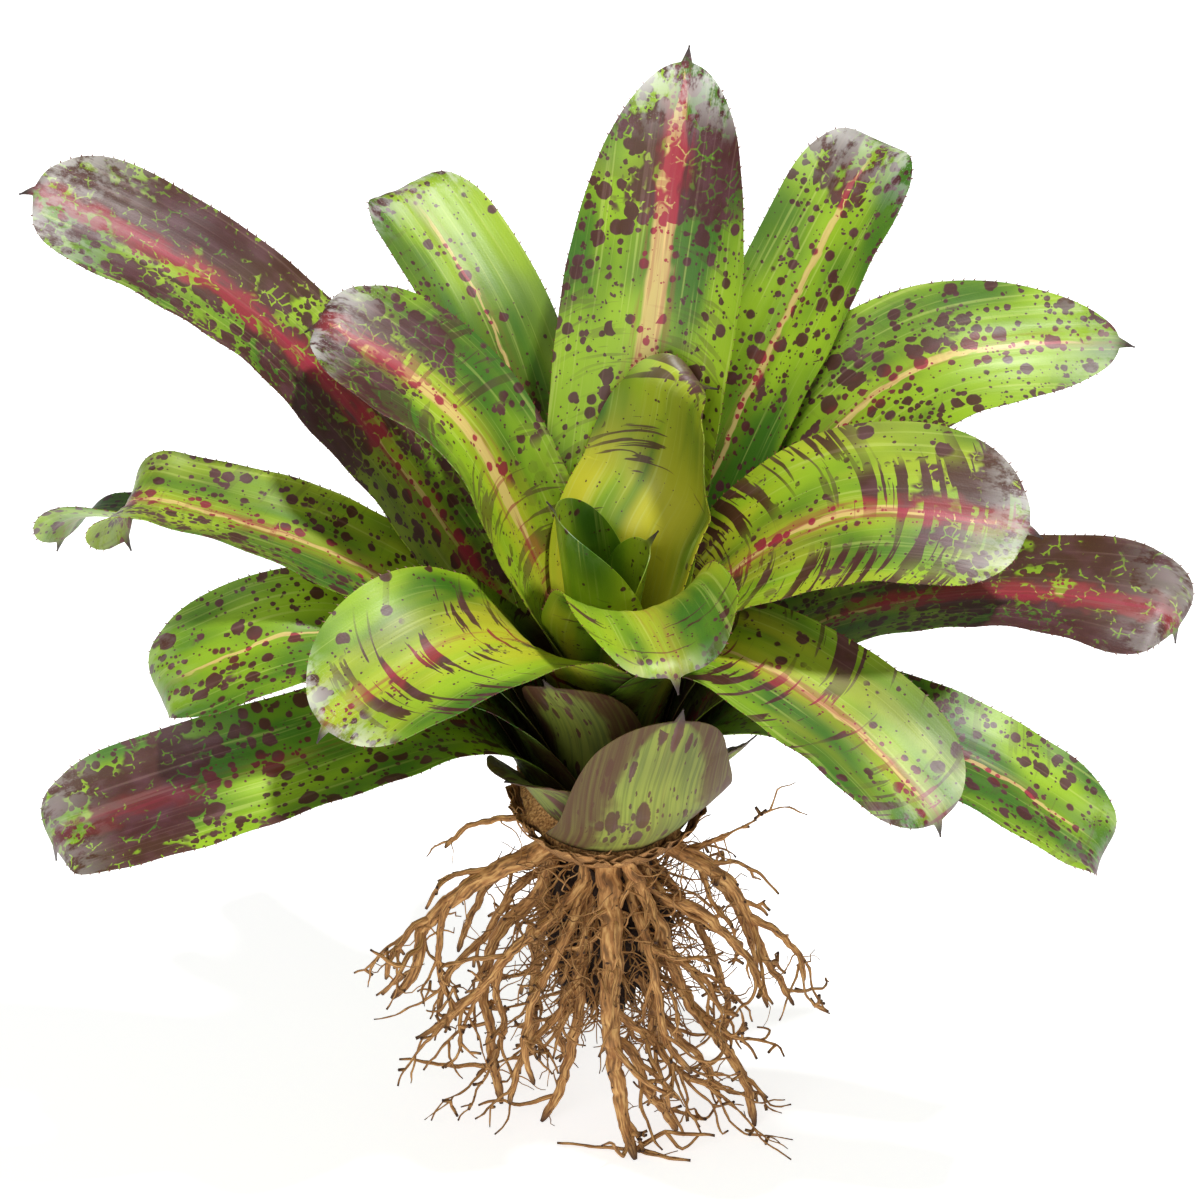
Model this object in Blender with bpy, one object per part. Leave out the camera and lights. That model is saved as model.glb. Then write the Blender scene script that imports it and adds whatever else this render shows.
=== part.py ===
"""Bare-rooted neoregelia bromeliad, standing on its own root tips.

A short woody crown carries a spiral of strap leaves. Each leaf starts as a broad sheath wrapped round
the crown, rises with the others as a nest of cups, and arches out into a channelled blade with a small
spine at its end. The roots grow out of the crown's underside and splay to the floor.

Frame: +Z up, origin on the floor under the crown, the front of the plant towards -Y.
"""

import math
from collections import namedtuple

import bmesh
import bpy
import numpy as np

# Driving dimensions, in metres and degrees.
CROWN_HEIGHT = 0.136        # floor to the level where the outermost leaf leaves the crown
LEAN = 20.0                 # how far the rosette's own axis tips forwards, towards -Y
BLADE_THICKNESS = 0.0007
HEART_RADIUS = 0.0058       # radius of the innermost sheath at its foot
NEST_PITCH = 0.00114        # each older sheath sits this much further out
CROWN_TAPER = 0.75          # rise of the crown's cone for each metre of radius
CROWN_CLEARANCE = 0.0006    # between the crown's cone and the leaves' feet
HEART_FLARE = 6.0           # angle between the axis and the innermost sheath's foot
OUTER_FLARE = 34.0          # and the outermost one's
HEART_NECK = (12.0, 120.0)  # reach and rise, in mm, of the neck between sheath and blade, innermost
OUTER_NECK = (64.0, 38.0)   # and outermost
NECK_LEAN = (20.0, 50.0)    # the sheath's slope at its neck, innermost and outermost
POINT_LENGTH = 0.007        # the spine at a blade's end

# The facets. All sheaths share the same bearings at their feet, so that nested ones stay clear.
STATIONS = 13
FACET_TURN = 22.5
ROOT_SIDES = 6

# One row for each leaf, youngest first. turn is the bearing round the rosette's axis, 0 to the right and
# 90 to the back. mid and tip are points of the midrib as (turn, reach from the axis, rise above the crown
# along the axis), in degrees and millimetres. clasp is the number of facets that the sheath wraps round the
# crown to each side. channel is the radius of the blade's trough in mm. roll turns the blade's face about
# its midrib, at mid and at tip. curl is the length in mm and the angle of the end that bends back. taper is
# the length of the narrowing end for each unit of width.
Leaf = namedtuple(
    "Leaf", "name turn mid tip width clasp channel roll curl taper neckless", defaults=(0.75, False)
)
LEAVES = (
    Leaf("heart_leaf_inner", 250, (250, 7, 70), (250, 8, 106), 24, 4, 9, (0, 0), (5, 20), 0.75, True),
    Leaf("heart_leaf_outer", 20, (20, 10, 86), (20, 15, 122), 36, 4, 15, (0, 0), (6, 30), 0.75, True),
    Leaf("cup_leaf_rolled", 190, (190, 14, 84), (186, 20, 147), 84, 6, 18, (0, 0), (3, 30), 0.9, True),
    Leaf("cup_leaf_back", 65, (60, 43, 131), (57, 51, 167), 74, 4, 38, (0, 0), (14, 110), 0.75),
    Leaf("cup_leaf_front", 285, (286, 46, 138), (286, 80, 147), 74, 4, 42, (0, 0), (12, 60), 0.5),
    Leaf("leaf_upper_left", 152, (154, 66, 174), (156, 112, 202), 64, 4, 52, (0, -10), (12, 70), 0.75),
    Leaf("leaf_top", 80, (77, 94, 212), (78, 149, 257), 74, 4, 60, (0, 0), (0, 0), 1.2),
    Leaf("leaf_right", 356, (355, 94, 156), (354, 158, 156), 72, 4, 90, (20, 25), (4, 30), 0.75),
    Leaf("leaf_front_left", 228, (226, 83, 136), (222, 136, 128), 76, 4, 80, (-6, -8), (8, 40), 0.75),
    Leaf("leaf_front_right", 322, (322, 112, 106), (319, 160, 94), 61, 4, 80, (0, 0), (8, 60), 0.75),
    Leaf("leaf_back_right", 50, (49, 112, 188), (51, 162, 224), 52, 3, 70, (0, 0), (14, 80), 0.75),
    Leaf("leaf_back_left", 118, (119, 103, 180), (121, 148, 202), 52, 3, 70, (0, 0), (16, 80), 0.75),
    Leaf("leaf_upper_right", 28, (24, 140, 178), (20, 208, 176), 70, 3, 80, (20, 30), (6, 20), 1.5),
    Leaf("sheath_inner", 254, (252, 34, 62), (243, 50, 98), 52, 3, 40, (0, 0), (0, 0), 0.9, True),
    Leaf("leaf_far_left", 154, (155, 170, 206), (158, 234, 236), 54, 3, 70, (-10, -20), (6, 50), 0.75),
    Leaf("leaf_left", 180, (182, 112, 134), (177, 172, 147), 58, 3, 60, (4, 12), (36, 110), 0.75),
    Leaf("leaf_far_right", 352, (355, 152, 120), (352, 210, 126), 54, 3, 60, (0, 20), (16, 90), 0.75),
    Leaf("leaf_low_left", 198, (198, 124, 121), (196, 172, 106), 58, 3, 70, (-10, -10), (14, 80), 0.75),
    Leaf("leaf_low_right", 330, (332, 160, 86), (334, 206, 62), 54, 3, 70, (0, 0), (12, 80), 0.75),
    Leaf("leaf_edge_left", 166, (166, 150, 108), (165, 208, 101), 44, 3, 40, (20, 30), (30, 60), 0.75),
    Leaf("leaf_lowest_left", 208, (208, 154, 80), (202, 222, 60), 54, 3, 70, (-20, -20), (14, 70), 0.75),
    Leaf("sheath_left", 238, (238, 57, 50), (240, 76, 68), 42, 3, 50, (0, 0), (0, 0), 0.9, True),
    Leaf("sheath_right", 312, (314, 51, 39), (324, 66, 62), 46, 3, 50, (0, 0), (0, 0), 0.9, True),
    Leaf("leaf_behind_right", 66, (64, 130, 100), (62, 196, 76), 54, 3, 70, (0, 0), (12, 60), 0.75),
    Leaf("leaf_behind_left", 112, (114, 128, 92), (118, 190, 64), 54, 3, 70, (0, 0), (12, 60), 0.75),
    Leaf("leaf_behind_middle", 88, (88, 116, 75), (87, 167, 60), 54, 3, 70, (0, 0), (12, 60), 0.75),
    Leaf("sheath_front", 282, (285, 64, 50), (291, 76, 105), 68, 3, 50, (0, 0), (0, 0), 0.95, True),
)

# The roots: radius at the start and at the end, then the route, all in millimetres, with z from the floor.
# A route that ends at z 0 is a foot: its end is cut flat on the floor.
ROOTS = (
    (6.2, 2.0, (0, -12, 130), (0, -26, 113), (2, -39, 87), (1, -48, 53), (4, -53, 31), (7, -57, 14), (11, -61, 0)),
    (1.8, 1.0, (-22, -10, 130), (-29, -12, 129), (-45, -10, 128), (-58, -10, 123), (-66, -10, 115)),
    (5.4, 1.6, (-14, -12, 132), (-26, -15, 117), (-47, -18, 108), (-62, -20, 97), (-75, -20, 83), (-80, -20, 62),
     (-88, -20, 52)),
    (2.2, 1.0, (-58, -19, 100), (-65, -22, 94), (-68, -22, 83), (-68, -22, 67), (-62, -22, 43)),
    (3.6, 1.2, (-6, -16, 122), (-13, -25, 101), (-24, -27, 90), (-38, -28, 78), (-49, -28, 64), (-60, -28, 51),
     (-78, -28, 38)),
    (3.2, 1.8, (-18, -8, 118), (-31, -11, 91), (-45, -12, 77), (-50, -12, 63), (-48, -12, 31), (-44, -12, 0)),
    (3.2, 1.8, (-4, -14, 124), (-8, -24, 93), (-11, -27, 73), (-12, -28, 50), (-15, -28, 32), (-19, -28, 17),
     (-27, -28, 0)),
    (3.6, 1.8, (2, -18, 134), (5, -27, 124), (13, -29, 106), (22, -29, 85), (28, -29, 65), (39, -31, 47),
     (55, -32, 23), (60, -32, 0)),
    (4.2, 1.2, (12, -8, 132), (22, -12, 118), (38, -14, 110), (49, -14, 100), (58, -14, 86), (63, -14, 71),
     (76, -14, 46)),
    (1.8, 1.0, (16, -6, 120), (26, -8, 115), (38, -8, 115), (50, -8, 121)),
    (3.2, 1.2, (10, -14, 118), (21, -22, 100), (36, -24, 94), (47, -24, 84), (57, -24, 71), (65, -24, 50)),
    (2.0, 1.0, (1, -47, 60), (9, -43, 52), (17, -41, 45), (28, -42, 31), (38, -42, 25), (46, -42, 18)),
    (2.4, 1.6, (2, -46, 48), (10, -45, 40), (16, -43, 22), (22, -39, 12), (28, -36, 0)),
    (1.8, 1.0, (25, -28, 78), (32, -30, 72), (40, -30, 64), (44, -30, 55), (53, -30, 49)),
    (1.8, 1.0, (-44, -28, 71), (-45, -26, 60), (-43, -24, 43), (-46, -24, 27), (-54, -24, 19)),
    (3.4, 1.8, (-10, 2, 122), (-20, 10, 96), (-28, 20, 64), (-31, 28, 30), (-33, 34, 0)),
    (3.6, 1.8, (8, 4, 122), (16, 14, 94), (21, 24, 62), (20, 32, 30), (24, 38, 0)),
    (3.0, 1.2, (-12, 4, 120), (-34, 14, 102), (-52, 20, 80), (-62, 24, 52)),
    (3.0, 1.2, (12, 2, 120), (36, 10, 100), (54, 16, 74), (62, 18, 46)),
    (2.4, 1.2, (0, 6, 118), (-2, 26, 98), (-6, 40, 70), (-4, 46, 44)),
    (2.6, 1.2, (-6, -20, 110), (-14, -32, 92), (-26, -40, 70), (-34, -44, 46), (-30, -46, 26)),
    (2.6, 1.2, (6, -20, 108), (14, -34, 88), (20, -42, 66), (24, -46, 46), (34, -48, 32)),
    (2.2, 1.2, (-8, -2, 112), (-36, 4, 92), (-52, 6, 66), (-66, 4, 50), (-70, 2, 34)),
    (2.2, 1.2, (14, 0, 108), (32, 2, 84), (44, 4, 58), (50, 6, 34), (46, 8, 16)),
    (2.0, 1.2, (-4, -18, 74), (-22, -34, 50), (-36, -38, 32), (-40, -40, 14)),
    (2.0, 1.2, (10, -22, 66), (26, -24, 40), (40, -22, 22), (46, -24, 8)),
    (2.0, 1.2, (-6, 4, 66), (-14, 12, 40), (-20, 16, 16), (-16, 18, 4)),
    (2.0, 1.2, (10, 2, 60), (18, 4, 36), (16, 10, 12)),
    (1.8, 1.0, (-70, -20, 90), (-80, -24, 84), (-88, -26, 72), (-90, -26, 64)),
    (1.8, 1.0, (58, -14, 86), (68, -18, 82), (78, -20, 70), (80, -20, 60)),
)
CORE = ((0.000, -0.008, 0.084), (0.025, 0.020, 0.042))  # the tangle's packed middle: centre and half sizes
PATH_STEPS = 40             # steps between two knots of a path
MM = 0.001


def smooth(x):
    """0 below 0, 1 above 1, and an even ease between."""
    x = np.clip(x, 0.0, 1.0)
    return x * x * (3 - 2 * x)


def unit(v):
    return v / np.linalg.norm(v, axis=-1, keepdims=True)


def polar(turn, reach, rise):
    """A point given by bearing in degrees, and reach and rise in millimetres, round the rosette's axis."""
    a = math.radians(turn)
    return np.array((reach * math.cos(a), reach * math.sin(a), rise)) * MM


def foot_radius(ring):
    return HEART_RADIUS + NEST_PITCH * ring


def foot_rise(ring):
    """Where a sheath's foot meets the crown's cone: the widest ring is the lowest."""
    return (foot_radius(len(LEAVES) - 1) - foot_radius(ring)) * CROWN_TAPER


def neck(leaf, share):
    """Where the sheath ends and the blade begins to lean out: lower and wider for older leaves."""
    reach = HEART_NECK[0] + (OUTER_NECK[0] - HEART_NECK[0]) * share ** 0.6
    rise = HEART_NECK[1] + (OUTER_NECK[1] - HEART_NECK[1]) * share ** 1.2
    return polar(leaf.turn, reach, rise)


def through(knots, *pulls):
    """A smooth path through the knots, as a Hermite curve, and its last direction.

    pulls are the directions at the first knots. The other knots take theirs from their neighbours.
    """
    chords = np.linalg.norm(np.diff(knots, axis=0), axis=1)
    slopes = list(pulls)
    for i in range(len(pulls), len(knots) - 1):
        before = (knots[i] - knots[i - 1]) / chords[i - 1]
        after = (knots[i + 1] - knots[i]) / chords[i]
        slopes.append((before * chords[i] + after * chords[i - 1]) / (chords[i - 1] + chords[i]))
    slopes.append(unit(1.5 * (knots[-1] - knots[-2]) / chords[-1] - 0.5 * slopes[-1]))
    t = np.linspace(0, 1, PATH_STEPS, endpoint=False)[:, None]
    path = [
        (2 * t**3 - 3 * t**2 + 1) * knots[i] + (t**3 - 2 * t**2 + t) * slopes[i] * chords[i]
        + (3 * t**2 - 2 * t**3) * knots[i + 1] + (t**3 - t**2) * slopes[i + 1] * chords[i]
        for i in range(len(chords))
    ]
    return np.concatenate(path + [knots[-1:]]), slopes[-1]


def midrib(leaf, ring, count):
    """Points, tangents, bearings and stations along a leaf's midrib, from its foot to its very end."""
    share = ring / (len(LEAVES) - 1)
    flare = math.radians(HEART_FLARE + (OUTER_FLARE - HEART_FLARE) * share ** 1.4)
    a = math.radians(leaf.turn)
    out = np.array((math.cos(a), math.sin(a), 0.0))
    foot = out * foot_radius(ring) + np.array((0, 0, foot_rise(ring)))
    mid, tip = polar(*leaf.mid), polar(*leaf.tip)
    knots = [foot, mid, tip] if leaf.neckless else [foot, neck(leaf, share), mid, tip]
    start = out * math.sin(flare) + np.array((0, 0, math.cos(flare)))
    lean = math.radians(NECK_LEAN[0] + (NECK_LEAN[1] - NECK_LEAN[0]) * share)
    rising = out * math.sin(lean) + np.array((0, 0, math.cos(lean)))
    path, onward = through(np.array(knots), *([start] if leaf.neckless else [start, rising]))

    # The end bends back and down over the curl's length.
    length, bend = leaf.curl[0] * MM + POINT_LENGTH, math.radians(leaf.curl[1])
    side = unit(np.cross((0, 0, 1), onward))
    down = unit(np.cross(side, onward))
    steps = np.linspace(0, 1, 30)[1:, None]
    turned = bend * smooth(steps * 1.2)
    curled = tip + np.cumsum((onward * np.cos(turned) + down * np.sin(turned)) * length / len(steps), axis=0)
    path = np.concatenate([path, curled])

    pieces = np.diff(path, axis=0)
    run = np.concatenate([[0], np.cumsum(np.linalg.norm(pieces, axis=1))])
    end = leaf.curl[0] * MM + POINT_LENGTH * 2
    sheath = min(run[PATH_STEPS] * 1.4, (run[-1] - end) * 0.94) if leaf.neckless else run[PATH_STEPS]
    stations = spread(count, run[-1], sheath, end)
    points = np.stack([np.interp(stations, run, axis) for axis in path.T], axis=1)
    middles = (run[1:] + run[:-1]) / 2
    tangents = unit(np.stack([np.interp(stations, middles, axis) for axis in unit(pieces).T], axis=1))
    heading = a if leaf.neckless else math.atan2(tip[1] - mid[1], tip[0] - mid[0])
    swing = (heading - a + math.pi) % (2 * math.pi) - math.pi
    bearings = a + swing * smooth((stations - sheath) / (run[-30] - sheath))
    return points, tangents, bearings, stations, (sheath, run[PATH_STEPS * (len(knots) - 2)], run[-30])


def spread(count, total, sheath, end):
    """Stations along a leaf, whose bent end and point take the last of them.

    The sheath's stations are at even shares of it, so that nested ones run parallel.
    """
    low = np.linspace(0, sheath, round(count * 0.36), endpoint=False)
    tip = total - end + np.linspace(0, 1, round(count * 0.34)) ** 0.9 * end
    body = np.linspace(sheath, total - end, count - len(low) - len(tip), endpoint=False)
    return np.concatenate([low, body, tip])


def half_width(leaf, ring, stations, sheath):
    """Half the leaf's width measured along its curve: sheath, neck, blade, narrowing end and point."""
    total = stations[-1]
    full = leaf.width * MM / 2
    foot = foot_radius(ring) * math.radians(leaf.clasp * FACET_TURN)
    body = foot + (full - foot) * smooth(stations / sheath)
    body = body - full * 0.06 * smooth(1 - abs(stations - sheath * 1.25) / (sheath * 0.6))
    left = np.clip((total - POINT_LENGTH - stations) / (leaf.width * MM * leaf.taper), 0, 1)
    fullness = 2.6 if leaf.taper < 1 else 1.5
    body = body * np.sqrt(1 - (1 - left) ** fullness)
    point = 0.0022 * np.clip((total - stations) / POINT_LENGTH, 0.16, 1)
    return np.maximum(body, point)


def leaf_surface(leaf, ring, count, across):
    """The middle surface of a leaf in the rosette's frame: a grid of points and its normals.

    across runs from -1 to 1 over the width. At the foot the columns are turned to the shared bearings.
    """
    points, tangents, bearings, stations, (sheath, at_mid, at_tip) = midrib(leaf, ring, count)
    sides = np.stack([-np.sin(bearings), np.cos(bearings), 0 * bearings], axis=1)
    inward = np.stack([-np.cos(bearings), -np.sin(bearings), 0 * bearings], axis=1)
    opening = smooth((stations - sheath * 0.6) / (at_tip - sheath * 0.6) * 1.6)
    level = (1 - opening)[:, None]
    square = unit(sides - tangents * np.sum(sides * tangents, axis=1, keepdims=True))
    sides = unit(sides * level + square * (1 - level))
    inner = unit(inward * level + np.cross(tangents, square) * (1 - level))
    rolled = np.radians(np.interp(stations, (0, sheath, at_mid, at_tip), (0, 0, *leaf.roll)))[:, None]
    sides, inner = sides * np.cos(rolled) + inner * np.sin(rolled), inner * np.cos(rolled) - sides * np.sin(rolled)

    half = half_width(leaf, ring, stations, sheath)
    clasp = np.linalg.norm(points[:, :2], axis=1)
    trough = clasp + (leaf.channel * MM - clasp) * opening
    offset = (round(leaf.turn / FACET_TURN) * FACET_TURN - leaf.turn) / (FACET_TURN * leaf.clasp)
    u = across[None, :] + offset * (1 - smooth(stations / sheath * 1.4 - 0.4))[:, None]
    bend = half[:, None] * u / trough[:, None]
    shift = trough[:, None] * np.sin(bend)
    rise = trough[:, None] * (1 - np.cos(bend))
    grid = points[:, None] + sides[:, None] * shift[..., None] + inner[:, None] * rise[..., None]
    normals = unit(np.cross(np.gradient(grid, axis=0), np.gradient(grid, axis=1)))
    return grid, normals


def to_plant(points):
    """From the rosette's frame to the plant's: tip the axis forwards and lift it onto the crown."""
    c, s = math.cos(math.radians(LEAN)), math.sin(math.radians(LEAN))
    x, y, z = points[..., 0], points[..., 1], points[..., 2]
    return np.stack([x, y * c - z * s, y * s + z * c + CROWN_HEIGHT], axis=-1)


def leaf_solid(leaf, ring):
    """A closed blade of even thickness: both faces and the rim that joins them."""
    across = np.linspace(-1, 1, leaf.clasp * 2 + 1)
    grid, normals = leaf_surface(leaf, ring, STATIONS, across)
    rows, columns = grid.shape[:2]
    faces = [to_plant(grid + normals * (BLADE_THICKNESS / 2 * sign)).reshape(-1, 3) for sign in (1, -1)]
    under = rows * columns

    def at(i, j):
        return i * columns + j

    quads = []
    for i in range(rows - 1):
        for j in range(columns - 1):
            quad = (at(i, j), at(i + 1, j), at(i + 1, j + 1), at(i, j + 1))
            quads.append(quad)
            quads.append(tuple(under + v for v in reversed(quad)))
    rim = [at(0, j) for j in range(columns)]
    rim += [at(i, columns - 1) for i in range(1, rows)]
    rim += [at(rows - 1, j) for j in range(columns - 2, -1, -1)]
    rim += [at(i, 0) for i in range(rows - 2, 0, -1)]
    for a, b in zip(rim, rim[1:] + rim[:1]):
        quads.append((a, b, under + b, under + a))
    return np.concatenate(faces), quads


def tube(route, start, end):
    """A root as a closed tube along its route. A route that ends on the floor gets a flat foot."""
    knots = np.array(route, dtype=float) * MM
    pull = unit(knots[1] - knots[0])
    path = through(knots, pull)[0][:: 20 if len(knots) > 4 else 10]
    path = np.concatenate([path, knots[-1:]]) if np.linalg.norm(path[-1] - knots[-1]) > 1e-6 else path
    along = np.linspace(0, 1, len(path))
    radii = (start + (end - start) * along ** 0.8) * MM
    tangents = unit(np.gradient(path, axis=0))
    grounded = route[-1][2] == 0
    if grounded:
        tangents[-1] = (0, 0, -1)
        radii[-1] = end * 1.35 * MM
    side = unit(np.cross(tangents[0], (0.3, 1.0, 0.1)))
    points = []
    for p, t, r in zip(path, tangents, radii):
        side = unit(side - t * np.dot(side, t))
        other = np.cross(t, side)
        angles = np.arange(ROOT_SIDES) * 2 * math.pi / ROOT_SIDES
        points.append(p + r * (np.outer(np.cos(angles), side) + np.outer(np.sin(angles), other)))
    count = len(path)
    quads = [
        (i * ROOT_SIDES + j, i * ROOT_SIDES + (j + 1) % ROOT_SIDES,
         (i + 1) * ROOT_SIDES + (j + 1) % ROOT_SIDES, (i + 1) * ROOT_SIDES + j)
        for i in range(count - 1) for j in range(ROOT_SIDES)
    ]
    quads.append(tuple(reversed(range(ROOT_SIDES))))
    quads.append(tuple((count - 1) * ROOT_SIDES + j for j in range(ROOT_SIDES)))
    return np.concatenate(points), quads


def lathe(profile, sides):
    """A closed body turned round the rosette's axis, from (radius, rise) pairs that start and end at its poles."""
    rings = [
        [(r * math.cos(2 * math.pi * j / sides), r * math.sin(2 * math.pi * j / sides), z) for j in range(sides)]
        for r, z in profile[1:-1]
    ]
    points = [(0, 0, profile[0][1])] + [p for ring in rings for p in ring] + [(0, 0, profile[-1][1])]
    last = len(points) - 1
    quads = []
    for j in range(sides):
        k = (j + 1) % sides
        quads.append((0, 1 + j, 1 + k))
        quads.append((last, last - sides + k, last - sides + j))
        for i in range(len(rings) - 1):
            a, b = 1 + i * sides, 1 + (i + 1) * sides
            quads.append((a + j, b + j, b + k, a + k))
    return np.array(points, dtype=float), quads


def crown():
    """The woody crown: a cone under the leaves' feet, and a blunt barrel below it."""
    outer = foot_radius(len(LEAVES) - 1)
    drop = CROWN_CLEARANCE * math.hypot(1, CROWN_TAPER)
    tip = outer * CROWN_TAPER - drop
    profile = [(0, tip), (outer * 0.5, tip - outer * 0.5 * CROWN_TAPER), (outer + 0.0005, -drop - 0.0004)]
    profile += [(outer - 0.001, -0.006), (outer * 0.86, -0.013), (outer * 0.5, -0.021), (0, -0.024)]
    points, quads = lathe(profile, 12)
    return to_plant(points), quads


def core():
    """The packed middle of the tangle, as a coarse ellipsoid."""
    centre, half = np.array(CORE[0]), np.array(CORE[1])
    bands = [math.pi * i / 6 for i in range(7)]
    points, quads = lathe([(math.sin(b), math.cos(b)) for b in bands], 8)
    return points * half + centre, quads


def add_mesh(name, points, quads, material=None):
    """A mesh object from points and faces, with its faces turned outwards."""
    mesh = bpy.data.meshes.new(name)
    mesh.from_pydata([tuple(p) for p in points], [], quads)
    shape = bmesh.new()
    shape.from_mesh(mesh)
    bmesh.ops.recalc_face_normals(shape, faces=shape.faces)
    bmesh.ops.triangulate(shape, faces=shape.faces)
    shape.to_mesh(mesh)
    shape.free()
    if material:
        mesh.materials.append(material)
    thing = bpy.data.objects.new(name, mesh)
    bpy.context.scene.collection.objects.link(thing)
    return thing


def add_material(name, color, roughness):
    material = bpy.data.materials.new(name)
    material.use_nodes = True
    shader = material.node_tree.nodes["Principled BSDF"]
    shader.inputs["Base Color"].default_value = (*color, 1.0)
    shader.inputs["Roughness"].default_value = roughness
    return material


def fuse(body, pieces):
    """One body from the crown, the core and the roots."""
    group = bpy.data.collections.new("root_pieces")
    bpy.context.scene.collection.children.link(group)
    for piece in pieces:
        bpy.context.scene.collection.objects.unlink(piece)
        group.objects.link(piece)
    union = body.modifiers.new("union", "BOOLEAN")
    union.operation = "UNION"
    union.operand_type = "COLLECTION"
    union.collection = group
    union.solver = "EXACT"
    union.use_self = True
    bpy.context.view_layer.update()
    joined = bpy.data.meshes.new_from_object(body.evaluated_get(bpy.context.evaluated_depsgraph_get()))
    body.modifiers.clear()
    body.data = joined
    for piece in pieces:
        bpy.data.objects.remove(piece)
    bpy.data.collections.remove(group)


def main():
    for thing in list(bpy.data.objects):
        bpy.data.objects.remove(thing)

    for ring, leaf in enumerate(LEAVES):
        points, quads = leaf_solid(leaf, ring)
        aged = ring / (len(LEAVES) - 1)
        color = (0.26 - 0.10 * aged, 0.45 - 0.22 * aged, 0.05)
        add_mesh(leaf.name, points, quads, add_material(leaf.name + "_skin", color, 0.42))

    wood = add_material("root_bark", (0.47, 0.24, 0.09), 0.85)
    body = add_mesh("crown_and_roots", *crown(), wood)
    pieces = [add_mesh("core", *core())]
    for number, (start, end, *route) in enumerate(ROOTS):
        pieces.append(add_mesh(f"root_{number}", *tube(route, start, end)))
    fuse(body, pieces)


if __name__ == "__main__":
    main()
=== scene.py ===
"""A bare-rooted neoregelia bromeliad: spotted strap leaves round a cup, on a tangle of woody roots.

Run as a script. The plant's solids are loaded first, and every piece made here stands for one of them
or grows from one. Lengths are in metres, +Z is up, and the front of the plant is towards -Y.
"""

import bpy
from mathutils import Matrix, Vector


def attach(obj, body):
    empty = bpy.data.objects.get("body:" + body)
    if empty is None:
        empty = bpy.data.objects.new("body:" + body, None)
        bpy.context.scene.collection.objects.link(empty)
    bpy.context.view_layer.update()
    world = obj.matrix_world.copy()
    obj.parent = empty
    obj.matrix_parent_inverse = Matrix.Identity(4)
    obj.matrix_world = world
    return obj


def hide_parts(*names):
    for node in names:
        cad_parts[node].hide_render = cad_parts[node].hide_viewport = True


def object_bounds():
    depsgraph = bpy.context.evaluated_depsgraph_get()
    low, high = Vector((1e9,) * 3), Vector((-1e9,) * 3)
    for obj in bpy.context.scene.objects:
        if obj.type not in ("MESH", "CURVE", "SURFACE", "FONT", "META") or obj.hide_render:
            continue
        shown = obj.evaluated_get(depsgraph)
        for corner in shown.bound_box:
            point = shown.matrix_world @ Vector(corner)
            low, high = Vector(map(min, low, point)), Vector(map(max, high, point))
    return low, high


bl_info = {
    "name": "Bare-rooted bromeliad",
    "version": (1, 0, 0),
    "blender": (4, 5, 0),
    "location": "3D View > Sidebar > Bromeliad",
    "description": "Leaves, margin spines, roots, rootlets and stage of a bare-rooted bromeliad",
    "category": "Object",
}

import math
from collections import namedtuple
from functools import partial

import bmesh
import bpy
import numpy as np
from bpy.props import FloatProperty, FloatVectorProperty, IntProperty, PointerProperty
from bpy.types import Operator, Panel, PropertyGroup
from mathutils import Vector

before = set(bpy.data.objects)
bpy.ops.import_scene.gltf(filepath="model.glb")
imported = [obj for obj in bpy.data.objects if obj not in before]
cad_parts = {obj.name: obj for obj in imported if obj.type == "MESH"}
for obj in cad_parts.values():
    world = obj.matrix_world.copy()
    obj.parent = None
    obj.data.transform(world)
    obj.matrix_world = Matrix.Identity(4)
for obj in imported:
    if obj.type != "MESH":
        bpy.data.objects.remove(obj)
CAD_BOX = [list(corner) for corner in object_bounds()]

MM = 0.001

# The plant's build, as its solids have it.
CROWN_HEIGHT = 0.136
LEAN = 20.0
HEART_RADIUS = 0.0058
NEST_PITCH = 0.00114
CROWN_TAPER = 0.75
CROWN_CLEARANCE = 0.0006
HEART_FLARE = 6.0
OUTER_FLARE = 34.0
HEART_NECK = (12.0, 120.0)
OUTER_NECK = (64.0, 38.0)
NECK_LEAN = (20.0, 50.0)
POINT_LENGTH = 0.007
FACET_TURN = 22.5
PATH_STEPS = 40

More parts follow.
